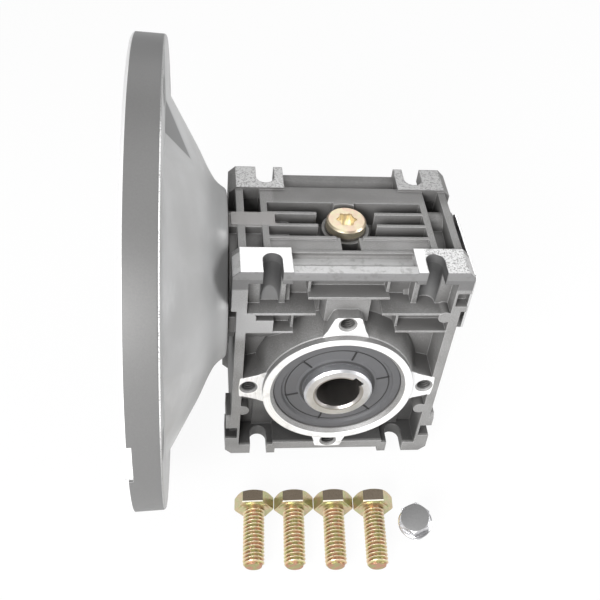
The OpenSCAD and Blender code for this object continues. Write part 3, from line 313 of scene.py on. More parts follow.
def cast_finish():
    f = Finish("cast aluminium, shot blasted and milled", Metallic=0.35)
    x, y, z = f.xyz()
    radius = (x * x + z * z) ** 0.5
    blast, cloud, speck = f.noise(0.35, 4.0, 0.6), f.noise(9.0, 3.0, 0.5), f.noise(0.55, 3.0, 0.6)
    ring, lugs, threads, pads = milled_places(x, y, z)
    faces = ring.max(lugs).max(pads)
    near_left, near_right = x.fit(-12.0, -16.0), x.fit(25.0, 23.0) * x.fit(0.0, 1.0)
    # The near pads are painted lighter, a painted highlight, and show fewer pits
    near_pads = near_left.max(near_right) * y.fit(-10.0, -14.0)
    pits = speck.fit(0.5, 0.4) * (0.75 - near_pads * 0.65)
    sheen = f.mix(speck, f.mix(near_pads, grey(196), grey(232)), f.mix(near_pads, grey(222), grey(250)))
    # Painted shade on the pads of the far side
    far_side_shade = y.fit(0.0, 4.0) * (0.3 + x.fit(0.0, 30.0) * 0.2)
    milled = f.mix(pits, sheen, grey(118, SHADE_AND_PIT_TINT))
    milled = f.mix(far_side_shade, milled, grey(110, (1.0, 0.985, 0.98)))
    circles = f.node("CombineXYZ", inputs={0: radius * 0.004, 1: y * 0.0001})
    lathe = f.node("TexNoise", {}, {"Vector": circles, "Scale": 900.0, "Detail": 3.0, "Roughness": 0.7})
    # Brownish patches on the lathed faces, most on the lugs, are painted reflections
    brown_reflection = f.noise(5.0, 3.0, 0.6).fit(0.5, 0.72) * (0.3 + lugs * 0.25)
    groove = (radius - RING_GROOVE_R).abs().fit(0.22, 0.08) * ring * 0.6
    lathed = f.layers(f.mix(lathe.fit(0.35, 0.65), grey(232), grey(255)),
                      (brown_reflection, grey(172, (1.0, 0.955, 0.91))), (groove, grey(150)))
    skin = cast_skin(f, x, y, z, blast, cloud, speck)
    height = blast + cloud * 0.4 - faces * 0.85 * blast + ring * lathe * 0.5 + threads * 6.0
    return f.use(Base_Color=f.mix(pads, f.mix(ring.max(lugs), skin, lathed), milled),
                 Metallic=faces.fit(0.0, 1.0, 0.3, 0.5), Roughness=f.mix(faces, 0.52, 0.38),
                 Normal=f.bump(height, 0.09, f.rounded(0.55), 0.5))


# %% [markdown]
# The bell carries a smooth grey coat, and only its motor face is turned bright.
# Painted shade makes the rim darker than the cone, less so towards the back, and
# darkens the cone next to the housing and in the upper side of the valley over
# the top bolt hole. A painted highlight runs along the rim's back edge, and the
# coat is knocked off in the two pry slots.

# %% Coated bell
WORM_Z = 30.0
FACE_X, RIM_BACK_X = -72.4, -61.3
PRY_DEPTH, PRY_WIDTH, PRY_FLOOR_Y = 2.4, 17.0, 80.4


def bell_finish():
    f = Finish("smooth grey coat", Metallic=0.25)
    x, y, z = f.xyz()
    rise = z - WORM_Z
    radius = (y * y + rise * rise) ** 0.5
    cloud, fine = f.noise(22.0, 3.0, 0.5), f.noise(0.5, 3.0, 0.6)
    smear = f.noise(5.0, 4.0, 0.6, (1, 0.25, 0.25))
    faced = x.fit(FACE_X + 1.1, FACE_X + 0.9)
    cone = x.fit(RIM_BACK_X - 0.2, RIM_BACK_X + 0.05)
    # Painted highlight along the back edge of the rim, strongest at its upper front
    rim_edge_highlight = ((x - (RIM_BACK_X - 0.32)).abs().fit(0.3, 0.12) * radius.fit(80.8, 81.2) * fine.fit(0.3, 0.5)
               * (y.fit(-18.0, -28.0) * rise.fit(0.0, 25.0) * 0.6 + 0.3))
    # Painted shade in the upper side of the valley over the top bolt hole
    valley_shade = (rise.fit(38.0, 40.0) * (y - 1.0).fit(0.0, 0.6)
              * (15.5 - (x - RIM_BACK_X) * 1.7 - y).fit(0.0, 1.2) * cone)
    pry_slot = (x.fit(FACE_X + PRY_DEPTH + 0.1, FACE_X + PRY_DEPTH - 0.1)
                * y.abs().fit(PRY_FLOOR_Y - 0.5, PRY_FLOOR_Y - 0.2) * y.abs().fit(81.4, 81.0)
                * rise.abs().fit(PRY_WIDTH / 2 + 0.05, PRY_WIDTH / 2 - 0.05))
    # Painted shade: the rim darker than the cone, less so towards the back
    rim = f.mix(fine, grey(98, (1.0, 0.995, 0.985)), grey(110, (1.0, 0.995, 0.985)))
    rim = f.mix(y.fit(-20.0, 60.0), rim, grey(140, (1.0, 1.0, 1.01)))
    coat = f.layers(
        f.mix(cloud.fit(0.3, 0.7), grey(173), grey(187, (0.99, 0.995, 1.0))),
        (smear.fit(0.55, 0.8) * 0.4, grey(212)),
        # Painted shade on the cone next to the housing
        (x.fit(-51.0, -44.0) * 0.55, grey(120)),
        (valley_shade * 0.6, grey(72)))
    colour = f.layers(f.mix(cone, rim, coat), (rim_edge_highlight, grey(246)), (pry_slot, grey(252)),
                      (f.edges(0.4) * 0.5, grey(205)), (faced, grey(222)))
    return f.use(Base_Color=colour, Roughness=f.mix(faced, f.mix(cloud, 0.42, 0.52), 0.3),
                 Normal=f.bump(fine + cloud * 0.6, 0.03, f.rounded(0.35), 0.4))


bell_coat = bell_finish()
print("made the finish", bell_coat.name)

# %% [markdown]
# Most metals inside the reducer need only a tone, a tint and a grain. The hub
# shows more: its ends are turned bright, and painted shade darkens its bore.

# %% Plain metals and the hub
def plain_metal(name, tone, tint, rough, grain_mm, depth_mm, stretch=(1, 1, 1), metallic=1.0):
    f = Finish(name, Metallic=metallic)
    grain, cloud = f.noise(grain_mm, 4.0, 0.6, stretch), f.noise(6.0)
    base = f.mix(cloud.fit(0.3, 0.7), grey(tone - 9, tint), grey(tone + 9, tint))
    return f.use(Base_Color=f.mix(f.edges(0.25) * 0.4, base, grey(min(255, tone + 50), tint)),
                 Roughness=grain.fit(0.3, 0.7, rough - 0.07, rough + 0.08),
                 Normal=f.bump(grain, depth_mm, f.rounded(0.25), 0.5))


def hub_finish():
    f = Finish("turned steel", Metallic=1.0)
    x, y, z = f.xyz()
    bore = (x * x + z * z).fit(86.0, 84.0) * y.abs().fit(40.0, 38.0)
    grain, cloud = f.noise(0.3, 4.0, 0.6), f.noise(6.0)
    steel = f.mix(cloud.fit(0.3, 0.7), grey(216, (0.985, 0.99, 1.02)), grey(234, (0.985, 0.99, 1.02)))
    # Painted shade in the bore, darkest deeper in and towards the top
    bore_shade = f.mix((y + z * 0.5).fit(-28.0, -14.0), grey(176, (1.0, 0.95, 0.91)), grey(104, (1.0, 0.97, 0.95)))
    return f.use(Base_Color=f.mix(bore, steel, bore_shade), Roughness=grain.fit(0.3, 0.7, 0.29, 0.44),
                 Normal=f.bump(grain, 0.02, f.rounded(0.25), 0.5))


# %% [markdown]
# Yellow zinc owes its colours to a thin film, so gold drifts to pink and green.
# On the oil plug a painted highlight makes the flank of the head palest.

# %% Yellow zinc of the oil plug
PLUG_FACE_Z = 55.6


def yellow_zinc_finish():
    f = Finish("yellow zinc plating", Metallic=0.95)
    drift, veil, grain = f.noise(4.5, 2.0, 0.5), f.noise(2.2, 3.0, 0.6), f.noise(0.25, 3.0)
    film = f.layers(
        f.mix(drift.fit(0.35, 0.65), grey(206, (1.0, 0.88, 0.64)), grey(198, (1.02, 0.82, 0.62))),
        (veil.fit(0.52, 0.7) * 0.55, grey(200, (1.05, 0.70, 0.60))),
        (veil.fit(0.45, 0.3) * 0.5, grey(205, (0.88, 0.96, 0.58))),
        # Painted highlight on the flank of the plug's head
        (f.xyz()[2].fit(PLUG_FACE_Z, PLUG_FACE_Z - 0.4), grey(252, (1.0, 0.90, 0.68))))
    return f.use(Base_Color=film, Roughness=grain.fit(0.3, 0.7, 0.28, 0.42),
                 Normal=f.bump(grain, 0.02, f.rounded(0.2), 0.4))


# %% [markdown]
# The seal is rubber, and on its face a moulded circle, six short nibs and the
# lip are drawn dark. The nibs are drawn by angle: the turn round the shaft
# is cut into sixths, and the distance from the middle of each is measured.

# %% Rubber and bare sheet
NIBS, NIB_TURN = 6, 12.25
NIB_IN_R, NIB_OUT_R, CIRCLE_R, LIP_R = 14.5, 19.4, 19.1, 13.4


def rubber_finish():
    f = Finish("nitrile rubber")
    x, y, z = f.xyz()
    radius = (x * x + z * z) ** 0.5
    grain, dust = f.noise(0.3, 4.0), f.noise(3.0, 4.0, 0.65)
    off_middle = ((z.math("ARCTAN2", z, x) * (NIBS / (2 * pi)) + NIB_TURN).fraction() - 0.5).abs()
    nibs = ((off_middle * radius * (2 * pi / NIBS)).fit(0.42, 0.2)
            * radius.fit(NIB_IN_R - 0.1, NIB_IN_R + 0.1) * radius.fit(NIB_OUT_R + 0.1, NIB_OUT_R - 0.1))
    circle = (radius - CIRCLE_R).abs().fit(0.32, 0.15) * 0.8
    lip = (radius - LIP_R).abs().fit(0.7, 0.3) * 0.8
    marks = nibs.max(circle).max(lip) * y.abs().fit(26.0, 26.5) * y.abs().fit(30.0, 29.5)
    skin = f.mix(dust.fit(0.5, 0.85) * 0.2, grey(83, (1, 1, 1.05)), grey(108))
    return f.use(Base_Color=f.mix(marks, skin, grey(30)), Roughness=dust.fit(0.3, 0.7, 0.5, 0.62),
                 Normal=f.bump(grain, 0.03, f.rounded(0.25), 0.4))


def plate_finish():
    f = Finish("bright bare sheet", Metallic=1.0)
    brush = f.noise(0.25, 3.0, 0.6, (1, 0.03, 1))
    return f.use(Base_Color=f.mix(brush, grey(205), grey(235)), Roughness=brush.fit(0.3, 0.7, 0.25, 0.38),
                 Normal=f.bump(brush, 0.01, f.rounded(0.15), 0.3))


# %% [markdown]
# Every solid of the frame has a slot that says what it is made of. So the whole
# reducer is dressed by one table, with a finish for each slot.

# %% Dress the solids
finishes = {
    "cast_aluminium": cast_finish(),
    "flange_paint": bell_coat,
    "rubber": rubber_finish(),
    "yellow_zinc": yellow_zinc_finish(),
    "plate_aluminium": plate_finish(),
    "black_steel": plain_metal("black oxide steel", 62, (1, 1, 1.03), 0.4, 0.4, 0.02),
    "spring_steel": plain_metal("dark spring steel", 100, (1, 1, 1), 0.38, 0.4, 0.02),
    "gasket": plain_metal("pressed fibre", 70, (1, 0.9, 0.75), 0.8, 0.3, 0.05, metallic=0.0),
    "cage_brass": plain_metal("pressed brass", 190, (1, 0.8, 0.42), 0.35, 0.4, 0.02),
    "bronze": plain_metal("cut bronze", 196, (1, 0.76, 0.42), 0.32, 0.3, 0.02),
    "hub_iron": hub_finish(),
    "ground_steel": plain_metal("ground steel", 190, (1, 1, 1), 0.26, 0.25, 0.015, (1, 0.1, 0.1)),
    "bearing_steel": plain_metal("polished steel", 205, (1, 1, 1.01), 0.18, 0.4, 0.004),
    "white_zinc": plain_metal("white zinc plating", 212, (1, 1, 1.01), 0.24, 0.3, 0.015),
    "rivet_aluminium": plain_metal("plain rivet metal", 200, (1, 1, 1), 0.34, 0.3, 0.01),
}


def dress(solid, finish):
    solid.data.materials.clear()
    solid.data.materials.append(finish)


slot_of = {part["node"]: part["material_slot"] for part in frame["record"]["subparts"]}
for node_name, slot_name in slot_of.items():
    dress(bpy.data.objects[node_name], finishes[slot_name])
print(len(slot_of), "solids dressed in", len(finishes), "finishes")

# %% [markdown]
# A few shapes are rebuilt here because they flow or twist. The first helpers
# spin a profile round an axis, extrude an outline and move the result.

# %% Shape helpers
AXES = {"X": Vector((1, 0, 0)), "Z": Vector((0, 0, 1))}
OUTWARD = {"X": AXES["Z"], "Z": AXES["X"]}


def turned(profile_mm, axis="X", centre_mm=(0, 0, 0), steps=96):
    """Spin (station, radius) points round an axis into a bmesh."""
    bm = bmesh.new()
    along, out, centre = AXES[axis], OUTWARD[axis], Vector(centre_mm) * MM
    verts = [bm.verts.new(centre + (along * s + out * r) * MM) for s, r in profile_mm]
    edges = [bm.edges.new(pair) for pair in zip(verts, verts[1:] + verts[:1])]
    bmesh.ops.spin(bm, geom=verts + edges, cent=centre, axis=along, angle=2 * pi, steps=steps, use_merge=True)
    bmesh.ops.remove_doubles(bm, verts=bm.verts, dist=1e-6)
    bmesh.ops.dissolve_degenerate(bm, edges=bm.edges, dist=1e-7)
    bmesh.ops.recalc_face_normals(bm, faces=bm.faces)
    return bm


def prism(outline_mm, depth_mm):
    """Extrude an outline in Y and Z along X, from 0 to depth."""
    bm = bmesh.new()
    face = bm.faces.new([bm.verts.new(Vector((0, y, z)) * MM) for y, z in outline_mm])
    grown = bmesh.ops.extrude_face_region(bm, geom=[face])["geom"]
    far_end = [part for part in grown if isinstance(part, bmesh.types.BMVert)]
    bmesh.ops.translate(bm, verts=far_end, vec=(depth_mm * MM, 0, 0))
    bmesh.ops.recalc_face_normals(bm, faces=bm.faces)
    return bm


def placed(bm, matrix):
    bmesh.ops.transform(bm, matrix=matrix, verts=bm.verts)
    return bm


def shift(x, y, z):
    return Matrix.Translation(Vector((x, y, z)) * MM)


def turn(angle, axis):
    return Matrix.Rotation(angle, 4, axis)


def everything(bm):
    return bm.verts[:] + bm.edges[:] + bm.faces[:]


# %% [markdown]
# The others turn a bmesh into an object, cut one shape with another, join
# shapes, and hand a finished mesh to the frame with its body and its finish,
# hiding the solid that it stands for. Edges sharper than a limit stay crisp.

# %% From shapes to pieces
SHARP = radians(32)


def as_object(name, bm):
    """Move a bmesh into a new object of the scene."""
    mesh = bpy.data.meshes.new(name)
    bm.to_mesh(mesh)
    bm.free()
    made = bpy.data.objects.new(name, mesh)
    bpy.context.scene.collection.objects.link(made)
    return made


def carved(base, cutters, operation="DIFFERENCE"):
    """Cut a bmesh with other bmeshes and return the result."""
    block = as_object("block", base)
    tools = [as_object("tool", cutter) for cutter in cutters]
    for tool in tools:
        cut = block.modifiers.new("cut", "BOOLEAN")
        cut.operation, cut.solver, cut.object = operation, "EXACT", tool
    result = bmesh.new()
    result.from_object(block, bpy.context.evaluated_depsgraph_get())
    for extra in [block] + tools:
        mesh = extra.data
        bpy.data.objects.remove(extra)
        bpy.data.meshes.remove(mesh)
    return result


def joined(parts):
    """Put several bmeshes into one."""
    whole = bmesh.new()
    for part in parts:
        mesh = bpy.data.meshes.new("part")
        part.to_mesh(mesh)
        part.free()
        whole.from_mesh(mesh)
        bpy.data.meshes.remove(mesh)
    return whole


def hand_over(name, bm, material, node):
    """Turn a bmesh into a finished piece that stands for a solid."""
    for face in bm.faces:
        face.smooth = True
    for edge in bm.edges:
        edge.smooth = edge.calc_face_angle(0) < SHARP
    piece = as_object(name, bm)
    piece.data.materials.append(material)
    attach(piece, "gearbox")
    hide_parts(node)
    print(name, len(piece.data.polygons), "faces")


# %% [markdown]
# The bell is one casting. Its rim is thick and turned, its cone is thin, and
# where the cone meets the housing it swells into four ears, one for each screw.
# Its profile is drawn once as (station, radius) points: round the rim, down the
# outside of the cone to an ear, and back along the inside.

# %% Profile of the bell
SEAT_X = -41.0
RIM_R, RIM_DRAFT, EDGE_ROUND = 82.55, 0.45, 1.0
PILOT_R, PILOT_END_X, CAVITY_R = 57.15, -67.4, 54.0
CONE_R, CONE_START_X, CONE_END_X, CONE_END_R = 63.0, RIM_BACK_X + 0.5, -45.8, 35.6
REGISTER_R, REGISTER_END_X, SEAL_BORE_R = 18.45, -39.0, 14.5
EAR = [(-46.5, 36.9), (-45.3, 35.0), (-44.0, 33.6), (-42.8, 32.7), (-41.8, 32.0), (-41.2, 31.2),
       (SEAT_X, 30.2)]
cone_slope = (CONE_R - CONE_END_R) / (CONE_END_X - CONE_START_X)
cone = [(x / 2, CONE_R - cone_slope * (x / 2 - CONE_START_X)) for x in range(-120, -93)]
rim_corner = [(RIM_BACK_X - EDGE_ROUND + EDGE_ROUND * sin(radians(a)),
               RIM_R - RIM_DRAFT - EDGE_ROUND + EDGE_ROUND * cos(radians(a))) for a in range(0, 91, 15)]
rim_foot = [(RIM_BACK_X, 65.4), (RIM_BACK_X + 0.12, 64.3), (CONE_START_X, CONE_R)]
inside = [(SEAT_X, REGISTER_R), (REGISTER_END_X, REGISTER_R), (REGISTER_END_X, SEAL_BORE_R),
          (-46.5, SEAL_BORE_R), (-46.5, 28.0), (-47.1, 29.8), (-60.3, CAVITY_R),
          (PILOT_END_X, CAVITY_R), (PILOT_END_X, PILOT_R)]
profile = ([(FACE_X, PILOT_R), (FACE_X, RIM_R - 0.8), (FACE_X + 0.8, RIM_R)] + rim_corner
           + rim_foot + cone + EAR + inside)
bell = turned(profile, "X", (0, 0, WORM_Z), steps=240)
print("bell spun from", len(profile), "points")

# %% [markdown]
# The ears flow into the cone with no edge between. So they aren't added: the
# spun surface has the ear's radius all round, and between the ears its points
# are pulled in to the narrower waist, with a soft step from one to the other.

# %% Ears of the bell
WAIST = [(-46.5, 35.6), (-45.3, 32.9), (-44.0, 30.6), (-42.8, 28.6), (-41.8, 27.2), (-41.2, 26.4),
         (SEAT_X, 26.0)]
SWELL_START_X, EAR_START_X = -51, -46.7
CONE_WALL_R, CORE_R, CONE_PULL = 31, 26, 1.3
EARS, EAR_OUT, EAR_IN = 4, 0.15, -0.85


def soft_step(value, low, high):
    t = min(1, max(0, (value - low) / (high - low)))
    return t * t * (3 - 2 * t)


ear_radius, waist_radius = dict(EAR), dict(WAIST)
for vert in bell.verts:
    x, y, z = vert.co.x / MM, vert.co.y / MM, vert.co.z / MM - WORM_Z
    radius = hypot(y, z)
    on_cone = x < EAR_START_X
    if x < SWELL_START_X or radius < (CONE_WALL_R if on_cone else CORE_R):
        continue
    station = min(ear_radius, key=lambda s: abs(s - x))
    if on_cone:
        waist = radius - CONE_PULL * soft_step(x, SWELL_START_X, EAR[0][0])
    elif abs(station - x) > 0.05 or abs(ear_radius[station] - radius) > 0.3:
        continue
    else:
        waist = waist_radius[station]
    swell = soft_step(cos(EARS * atan2(z, y)), EAR_IN, EAR_OUT)
    factor = (waist + (radius - waist) * swell) / radius
    vert.co.y, vert.co.z = vert.co.y * factor, (z * factor + WORM_Z) * MM
print("ears reach", EAR[0][1], "mm, the waist between them", WAIST[0][1], "mm")

# %% [markdown]
# Each motor bolt needs room for a spanner, so a shallow V is cut into the cone
# behind every bolt hole. Two slots in the motor face let a screwdriver part the
# flange from its motor.

# %% Cuts in the bell
BOLT_CIRCLE_R, BOLT_HOLE_R = 74.6, 5.2
VALLEY = [(0, 0), (40, 6), (40, 60), (-40, 60), (-40, 6)]
VALLEY_START, VALLEY_LENGTH, VALLEY_TILT, VALLEY_DEPTH = -20, 60, radians(51), 4.5
hole_profile = [(FACE_X - 1, 0), (FACE_X - 1, BOLT_HOLE_R),
                (RIM_BACK_X + 1, BOLT_HOLE_R), (RIM_BACK_X + 1, 0)]
cutters = []
for quarter in range(4):
    wedge = prism(VALLEY, VALLEY_LENGTH)
    hole = turned(hole_profile, "X", (0, 0, BOLT_CIRCLE_R), 40)
    bmesh.ops.translate(wedge, verts=wedge.verts, vec=(VALLEY_START * MM, 0, 0))
    bmesh.ops.rotate(wedge, verts=wedge.verts, cent=(0, 0, 0), matrix=Matrix.Rotation(VALLEY_TILT, 3, "Y"))
    bmesh.ops.translate(wedge, verts=wedge.verts, vec=(RIM_BACK_X * MM, 0, (CONE_R - VALLEY_DEPTH) * MM))
    bmesh.ops.bisect_plane(wedge, geom=everything(wedge), plane_co=(RIM_BACK_X * MM, 0, 0),
                           plane_no=(-1, 0, 0), clear_outer=True)
    bmesh.ops.holes_fill(wedge, edges=wedge.edges)
    bmesh.ops.recalc_face_normals(wedge, faces=wedge.faces)
    round_the_rim = Matrix.Rotation(quarter * pi / 2, 3, "X")
    for cutter in (wedge, hole):
        bmesh.ops.rotate(cutter, verts=cutter.verts, cent=(0, 0, 0), matrix=round_the_rim)
        bmesh.ops.translate(cutter, verts=cutter.verts, vec=(0, 0, WORM_Z * MM))
        cutters.append(cutter)
for side in (-1, 1):
    pry = bmesh.new()
    bmesh.ops.create_cube(pry, size=1.0)
    bmesh.ops.scale(pry, verts=pry.verts, vec=Vector((2 * PRY_DEPTH, 12.0, PRY_WIDTH)) * MM)
    middle = Vector((FACE_X, side * (PRY_FLOOR_Y + 6.0), WORM_Z)) * MM
    bmesh.ops.translate(pry, verts=pry.verts, vec=middle)
    cutters.append(pry)
hand_over("bell_of_motor_flange", carved(bell, cutters), bell_coat, "motor_flange")

# %% [markdown]
# A motor bolt is a hexagon with its corners turned off, and a helical thread.
# One pitch of the thread is drawn and spun with a small step along the bolt at
# every turn; then both ends are cut flat and closed.

# %% Shapes of a bolt
BOLT_D, BOLT_AF, BOLT_HEAD, BOLT_LENGTH, BOLT_PITCH, BOLT_TIP = 7.94, 12.7, 5.2, 22.2, 1.411, 1.0
COLLAR_R = 5.7
THREAD_DEPTH = 0.58


def threaded_rod(diameter, pitch, length, chamfer, axis="X", steps=30):
    """A helical thread from 0 to length along an axis, its tip chamfered."""
    crest, root = diameter / 2, diameter / 2 - THREAD_DEPTH * pitch
    turns = int(length / pitch) + 3
    along, out = AXES[axis], OUTWARD[axis]
    bm = bmesh.new()
    points = [(0.0, root), (0.12, root + 0.03), (0.44, crest),
              (0.56, crest), (0.88, root + 0.03), (1.0, root)]
    verts = [bm.verts.new((along * (s - 1.5) * pitch + out * r) * MM) for s, r in points]
    edges = [bm.edges.new(pair) for pair in zip(verts, verts[1:])]
    bmesh.ops.spin(bm, geom=verts + edges, cent=(0, 0, 0), axis=along, dvec=along * (pitch / steps * MM),
                   angle=2 * pi * turns, steps=steps * turns, use_merge=False)
    bmesh.ops.remove_doubles(bm, verts=bm.verts, dist=2e-6)
    for vert in bm.verts:
        station = vert.co.dot(along)
        offset = vert.co - along * station
        limit = max(crest - chamfer, root - 0.2) * MM + max(0.0, length * MM - station)
        if offset.length > limit:
            vert.co = along * station + offset * (limit / offset.length)
    for place, away in ((0.0, -along), (length, along)):
        bmesh.ops.bisect_plane(bm, geom=everything(bm), dist=1e-7,
                               plane_co=along * place * MM, plane_no=away, clear_outer=True)
    bmesh.ops.holes_fill(bm, edges=[edge for edge in bm.edges if edge.is_boundary])
    bmesh.ops.recalc_face_normals(bm, faces=bm.faces)
    return bm


def hexagon(across_flats, height, first_corner=0.0):
    """A hexagon along X with the corners of its outer end turned off."""
    corner, flat = across_flats / 2 / cos(pi / 6), across_flats / 2 - 0.25
    angles = [pi / 3 * k + first_corner for k in range(6)]
    bar = prism([(corner * sin(angle), corner * cos(angle)) for angle in angles], height)
    dome = [(-0.01, 0), (-0.01, flat), ((corner - flat) * tan(radians(28)), corner + 0.02),
            (height - 0.25, corner + 0.02), (height + 0.01, corner - 0.35), (height + 0.01, 0)]
    return carved(bar, [turned(dome, steps=72)], "INTERSECT")


head = placed(hexagon(BOLT_AF, BOLT_HEAD, pi / 6), shift(-BOLT_HEAD, 0, 0))
collar = turned([(-0.5, 0), (-0.5, COLLAR_R), (0.3, COLLAR_R), (0.3, 0)], steps=60)
bolt = joined([head, collar, threaded_rod(BOLT_D, BOLT_PITCH, BOLT_LENGTH, BOLT_TIP)])
print("bolt", len(bolt.faces), "faces")

# %% [markdown]
# The reducer rests on the rim of its flange and on two far pads, so the table
# leans a little in the reducer's own frame. The loose pieces lie on that table:
# on_table puts them at a place in the plan view, turned about the upright.

# %% Lie of the table
REST_X, REST_Z, RIM_REST_INSET = 37.5, -40.0, 1.7
RIM_REST_X, RIM_REST_Z = RIM_BACK_X - RIM_REST_INSET, WORM_Z - RIM_R + RIM_DRAFT
table_slope = (REST_Z - RIM_REST_Z) / (REST_X - RIM_REST_X)
table_tilt = atan2(REST_Z - RIM_REST_Z, REST_X - RIM_REST_X)
print("table leans", round(degrees(table_tilt), 2), "degrees")


def table_height(x_mm):
    return REST_Z + (x_mm - REST_X) * table_slope


def on_table(x_mm, y_mm, angle):
    return shift(x_mm, y_mm, table_height(x_mm)) @ turn(-table_tilt, "Y") @ turn(angle, "Z")


# %% [markdown]
# The film on a loose bolt is rust red and green in the thread and gold on the
# head. Dirt and painted shade darken the roots of the thread, painted highlights
# light its crests and a line at the washer face, and painted shade darkens the
# upper flat. A bolt lies askew, so its finish measures every point along the
# bolt's own axes.

# %% Yellow zinc of a loose bolt
def measured(offsets, axis):
    """How far a point lies along an axis, from its three offsets."""
    dx, dy, dz = offsets
    return dx * axis.x + dy * axis.y + dz * axis.z


def bolt_finish(name, place, axis, up):
    f = Finish(name, Metallic=0.8)
    offsets = [wire - start for wire, start in zip(f.xyz(), place)]
    station, height = measured(offsets, axis), measured(offsets, up)
    dx, dy, dz = offsets
    radius = (dx * dx + dy * dy + dz * dz - station * station).max(0.01) ** 0.5
    drift, grain = f.noise(2.6, 2.0, 0.5), f.noise(0.25, 3.0)
    patch = drift.fit(0.45, 0.55)
    crest_r = BOLT_D / 2
    # Dirt and painted shade in the roots of the thread, a painted highlight on its crests
    root = f.mix(patch, grey(168, (1.1, 0.58, 0.34)), grey(158, (1.0, 0.88, 0.36)))
    flank = f.mix(patch, grey(206, (1.06, 0.76, 0.46)), grey(200, (1.0, 0.92, 0.46)))
    flank = f.mix(radius.fit(crest_r - 0.22, crest_r - 0.04), flank, grey(232, (1.03, 0.89, 0.66)))
    thread = f.mix(radius.fit(crest_r - 0.75, crest_r - 0.45), root, flank)
    # Painted shade on the upper flat of the head
    flat_top = height.fit(BOLT_AF / 2 - 0.15, BOLT_AF / 2 - 0.05)
    flat = flat_top * station.fit(-0.2, -0.35) * station.fit(0.1 - BOLT_HEAD, 0.3 - BOLT_HEAD)
    # Painted highlight: a bright line at the washer face under the head
    bright_line = height.fit(6.0, 6.1) * (station + 0.42).abs().fit(0.3, 0.15)
    head = f.layers(
        f.mix(drift.fit(0.4, 0.6), grey(192, (1.06, 0.84, 0.52)), grey(186, (0.99, 0.97, 0.52))),
        (flat, f.mix(grain, grey(84, (1.1, 0.84, 0.60)), grey(104, (1.08, 0.88, 0.64)))),
        (bright_line, grey(250, (1.0, 0.96, 0.86))))
    return f.use(Base_Color=f.mix(station.fit(0.4, 0.8), head, thread),
                 Roughness=grain.fit(0.3, 0.7, 0.26, 0.38), Metallic=flat.fit(0.0, 1.0, 0.8, 0.3),
                 Normal=f.bump(grain, 0.02, f.rounded(0.12), 0.35))


# %% [markdown]
# The four bolts lie in a row before the reducer, with their heads nearly
# touching. Each rests on its head and on its tip, so it dips a little.

# %% Motor bolts
ROW_X, ROW_Y, ROW_TURN, BOLT_TURN = -6.8, -54.9, radians(-5.6), radians(-93.5)
HEAD_GAP, SINK = 0.1, 0.02
row_step = BOLT_AF / cos(pi / 6) + HEAD_GAP
bolt_lie = atan2((BOLT_AF - BOLT_D) / 2, BOLT_LENGTH)
for number, k in enumerate((-1.5, -0.5, 0.5, 1.5), 1):
    spot = on_table(ROW_X + k * row_step * cos(ROW_TURN), ROW_Y + k * row_step * sin(ROW_TURN), BOLT_TURN)
    spot = spot @ shift(0, 0, BOLT_AF / 2 / cos(bolt_lie) - SINK) @ turn(bolt_lie, "Y")
    bolt_axis, bolt_up = spot.to_3x3() @ AXES["X"], spot.to_3x3() @ AXES["Z"]
    zinc = bolt_finish(f"yellow zinc, bolt {number}", spot.translation / MM, bolt_axis, bolt_up)
    hand_over(f"loose_motor_bolt_{number}", placed(bolt.copy(), spot), zinc, "motor_bolts")
bolt.free()

# %% [markdown]
# The breather plug waits beside the bolts, standing on its thread and leaning
# to the viewer: a hexagon over a round flange. Its white zinc is bright, but
# the top of its head is dull and dark.

# %% Breather plug
PLUG_X, PLUG_Y, PLUG_TURN, PLUG_LEAN, PLUG_ROLL = 30.2, -63.4, radians(-115), radians(14), radians(12)
PLUG_THREAD_D, PLUG_PITCH, PLUG_THREAD, PLUG_TIP = 9.7, 0.907, 6.0, 0.8
PLUG_AF, PLUG_HEAD, PLUG_FLANGE_R, PLUG_TOP = 10.0, 5.0, 6.2, 12.1


def white_zinc_finish(place, axis):
    f = Finish("white zinc of the breather", Metallic=0.9)
    offsets = [wire - start for wire, start in zip(f.xyz(), place)]
    top = measured(offsets, axis).fit(PLUG_TOP, PLUG_TOP + 0.15)
    grain, cloud = f.noise(0.4, 4.0, 0.6), f.noise(4.0)
    bright = f.mix(cloud.fit(0.35, 0.65), grey(176, (1, 0.995, 1.02)), grey(228, (1, 0.995, 1.02)))
    return f.use(Base_Color=f.mix(top, bright, f.mix(grain, grey(106), grey(128))),
                 Roughness=f.mix(top, 0.26, 0.6), Metallic=top.fit(0.0, 1.0, 0.9, 0.3),
                 Normal=f.bump(grain, 0.02, f.rounded(0.2), 0.4))


plug_head = placed(hexagon(PLUG_AF, PLUG_HEAD), shift(0, 0, PLUG_HEAD) @ turn(pi / 2, "Y"))
plug_thread = threaded_rod(PLUG_THREAD_D, PLUG_PITCH, PLUG_THREAD, PLUG_TIP, "Z")
plug_flange = turned([(PLUG_THREAD, 0), (PLUG_THREAD, PLUG_FLANGE_R - 0.3),
                      (PLUG_THREAD + 0.3, PLUG_FLANGE_R), (PLUG_THREAD + 1.0, PLUG_FLANGE_R),
                      (PLUG_THREAD + 1.4, PLUG_FLANGE_R - 0.5), (PLUG_THREAD + 1.5, 0)], "Z", steps=72)
breather = joined([placed(plug_thread, shift(0, 0, PLUG_THREAD) @ turn(pi, "X")), plug_flange,
                   placed(plug_head, shift(0, 0, PLUG_THREAD + 1.35))])
lifted = shift(0, 0, PLUG_THREAD_D / 2 * sin(PLUG_LEAN) - 0.15)
plug_spot = on_table(PLUG_X, PLUG_Y, PLUG_TURN) @ lifted @ turn(PLUG_LEAN, "Y") @ turn(PLUG_ROLL, "Z")
plug_zinc = white_zinc_finish(plug_spot.translation / MM, plug_spot.to_3x3() @ AXES["Z"])
dress(bpy.data.objects["breather_plug"], plug_zinc)
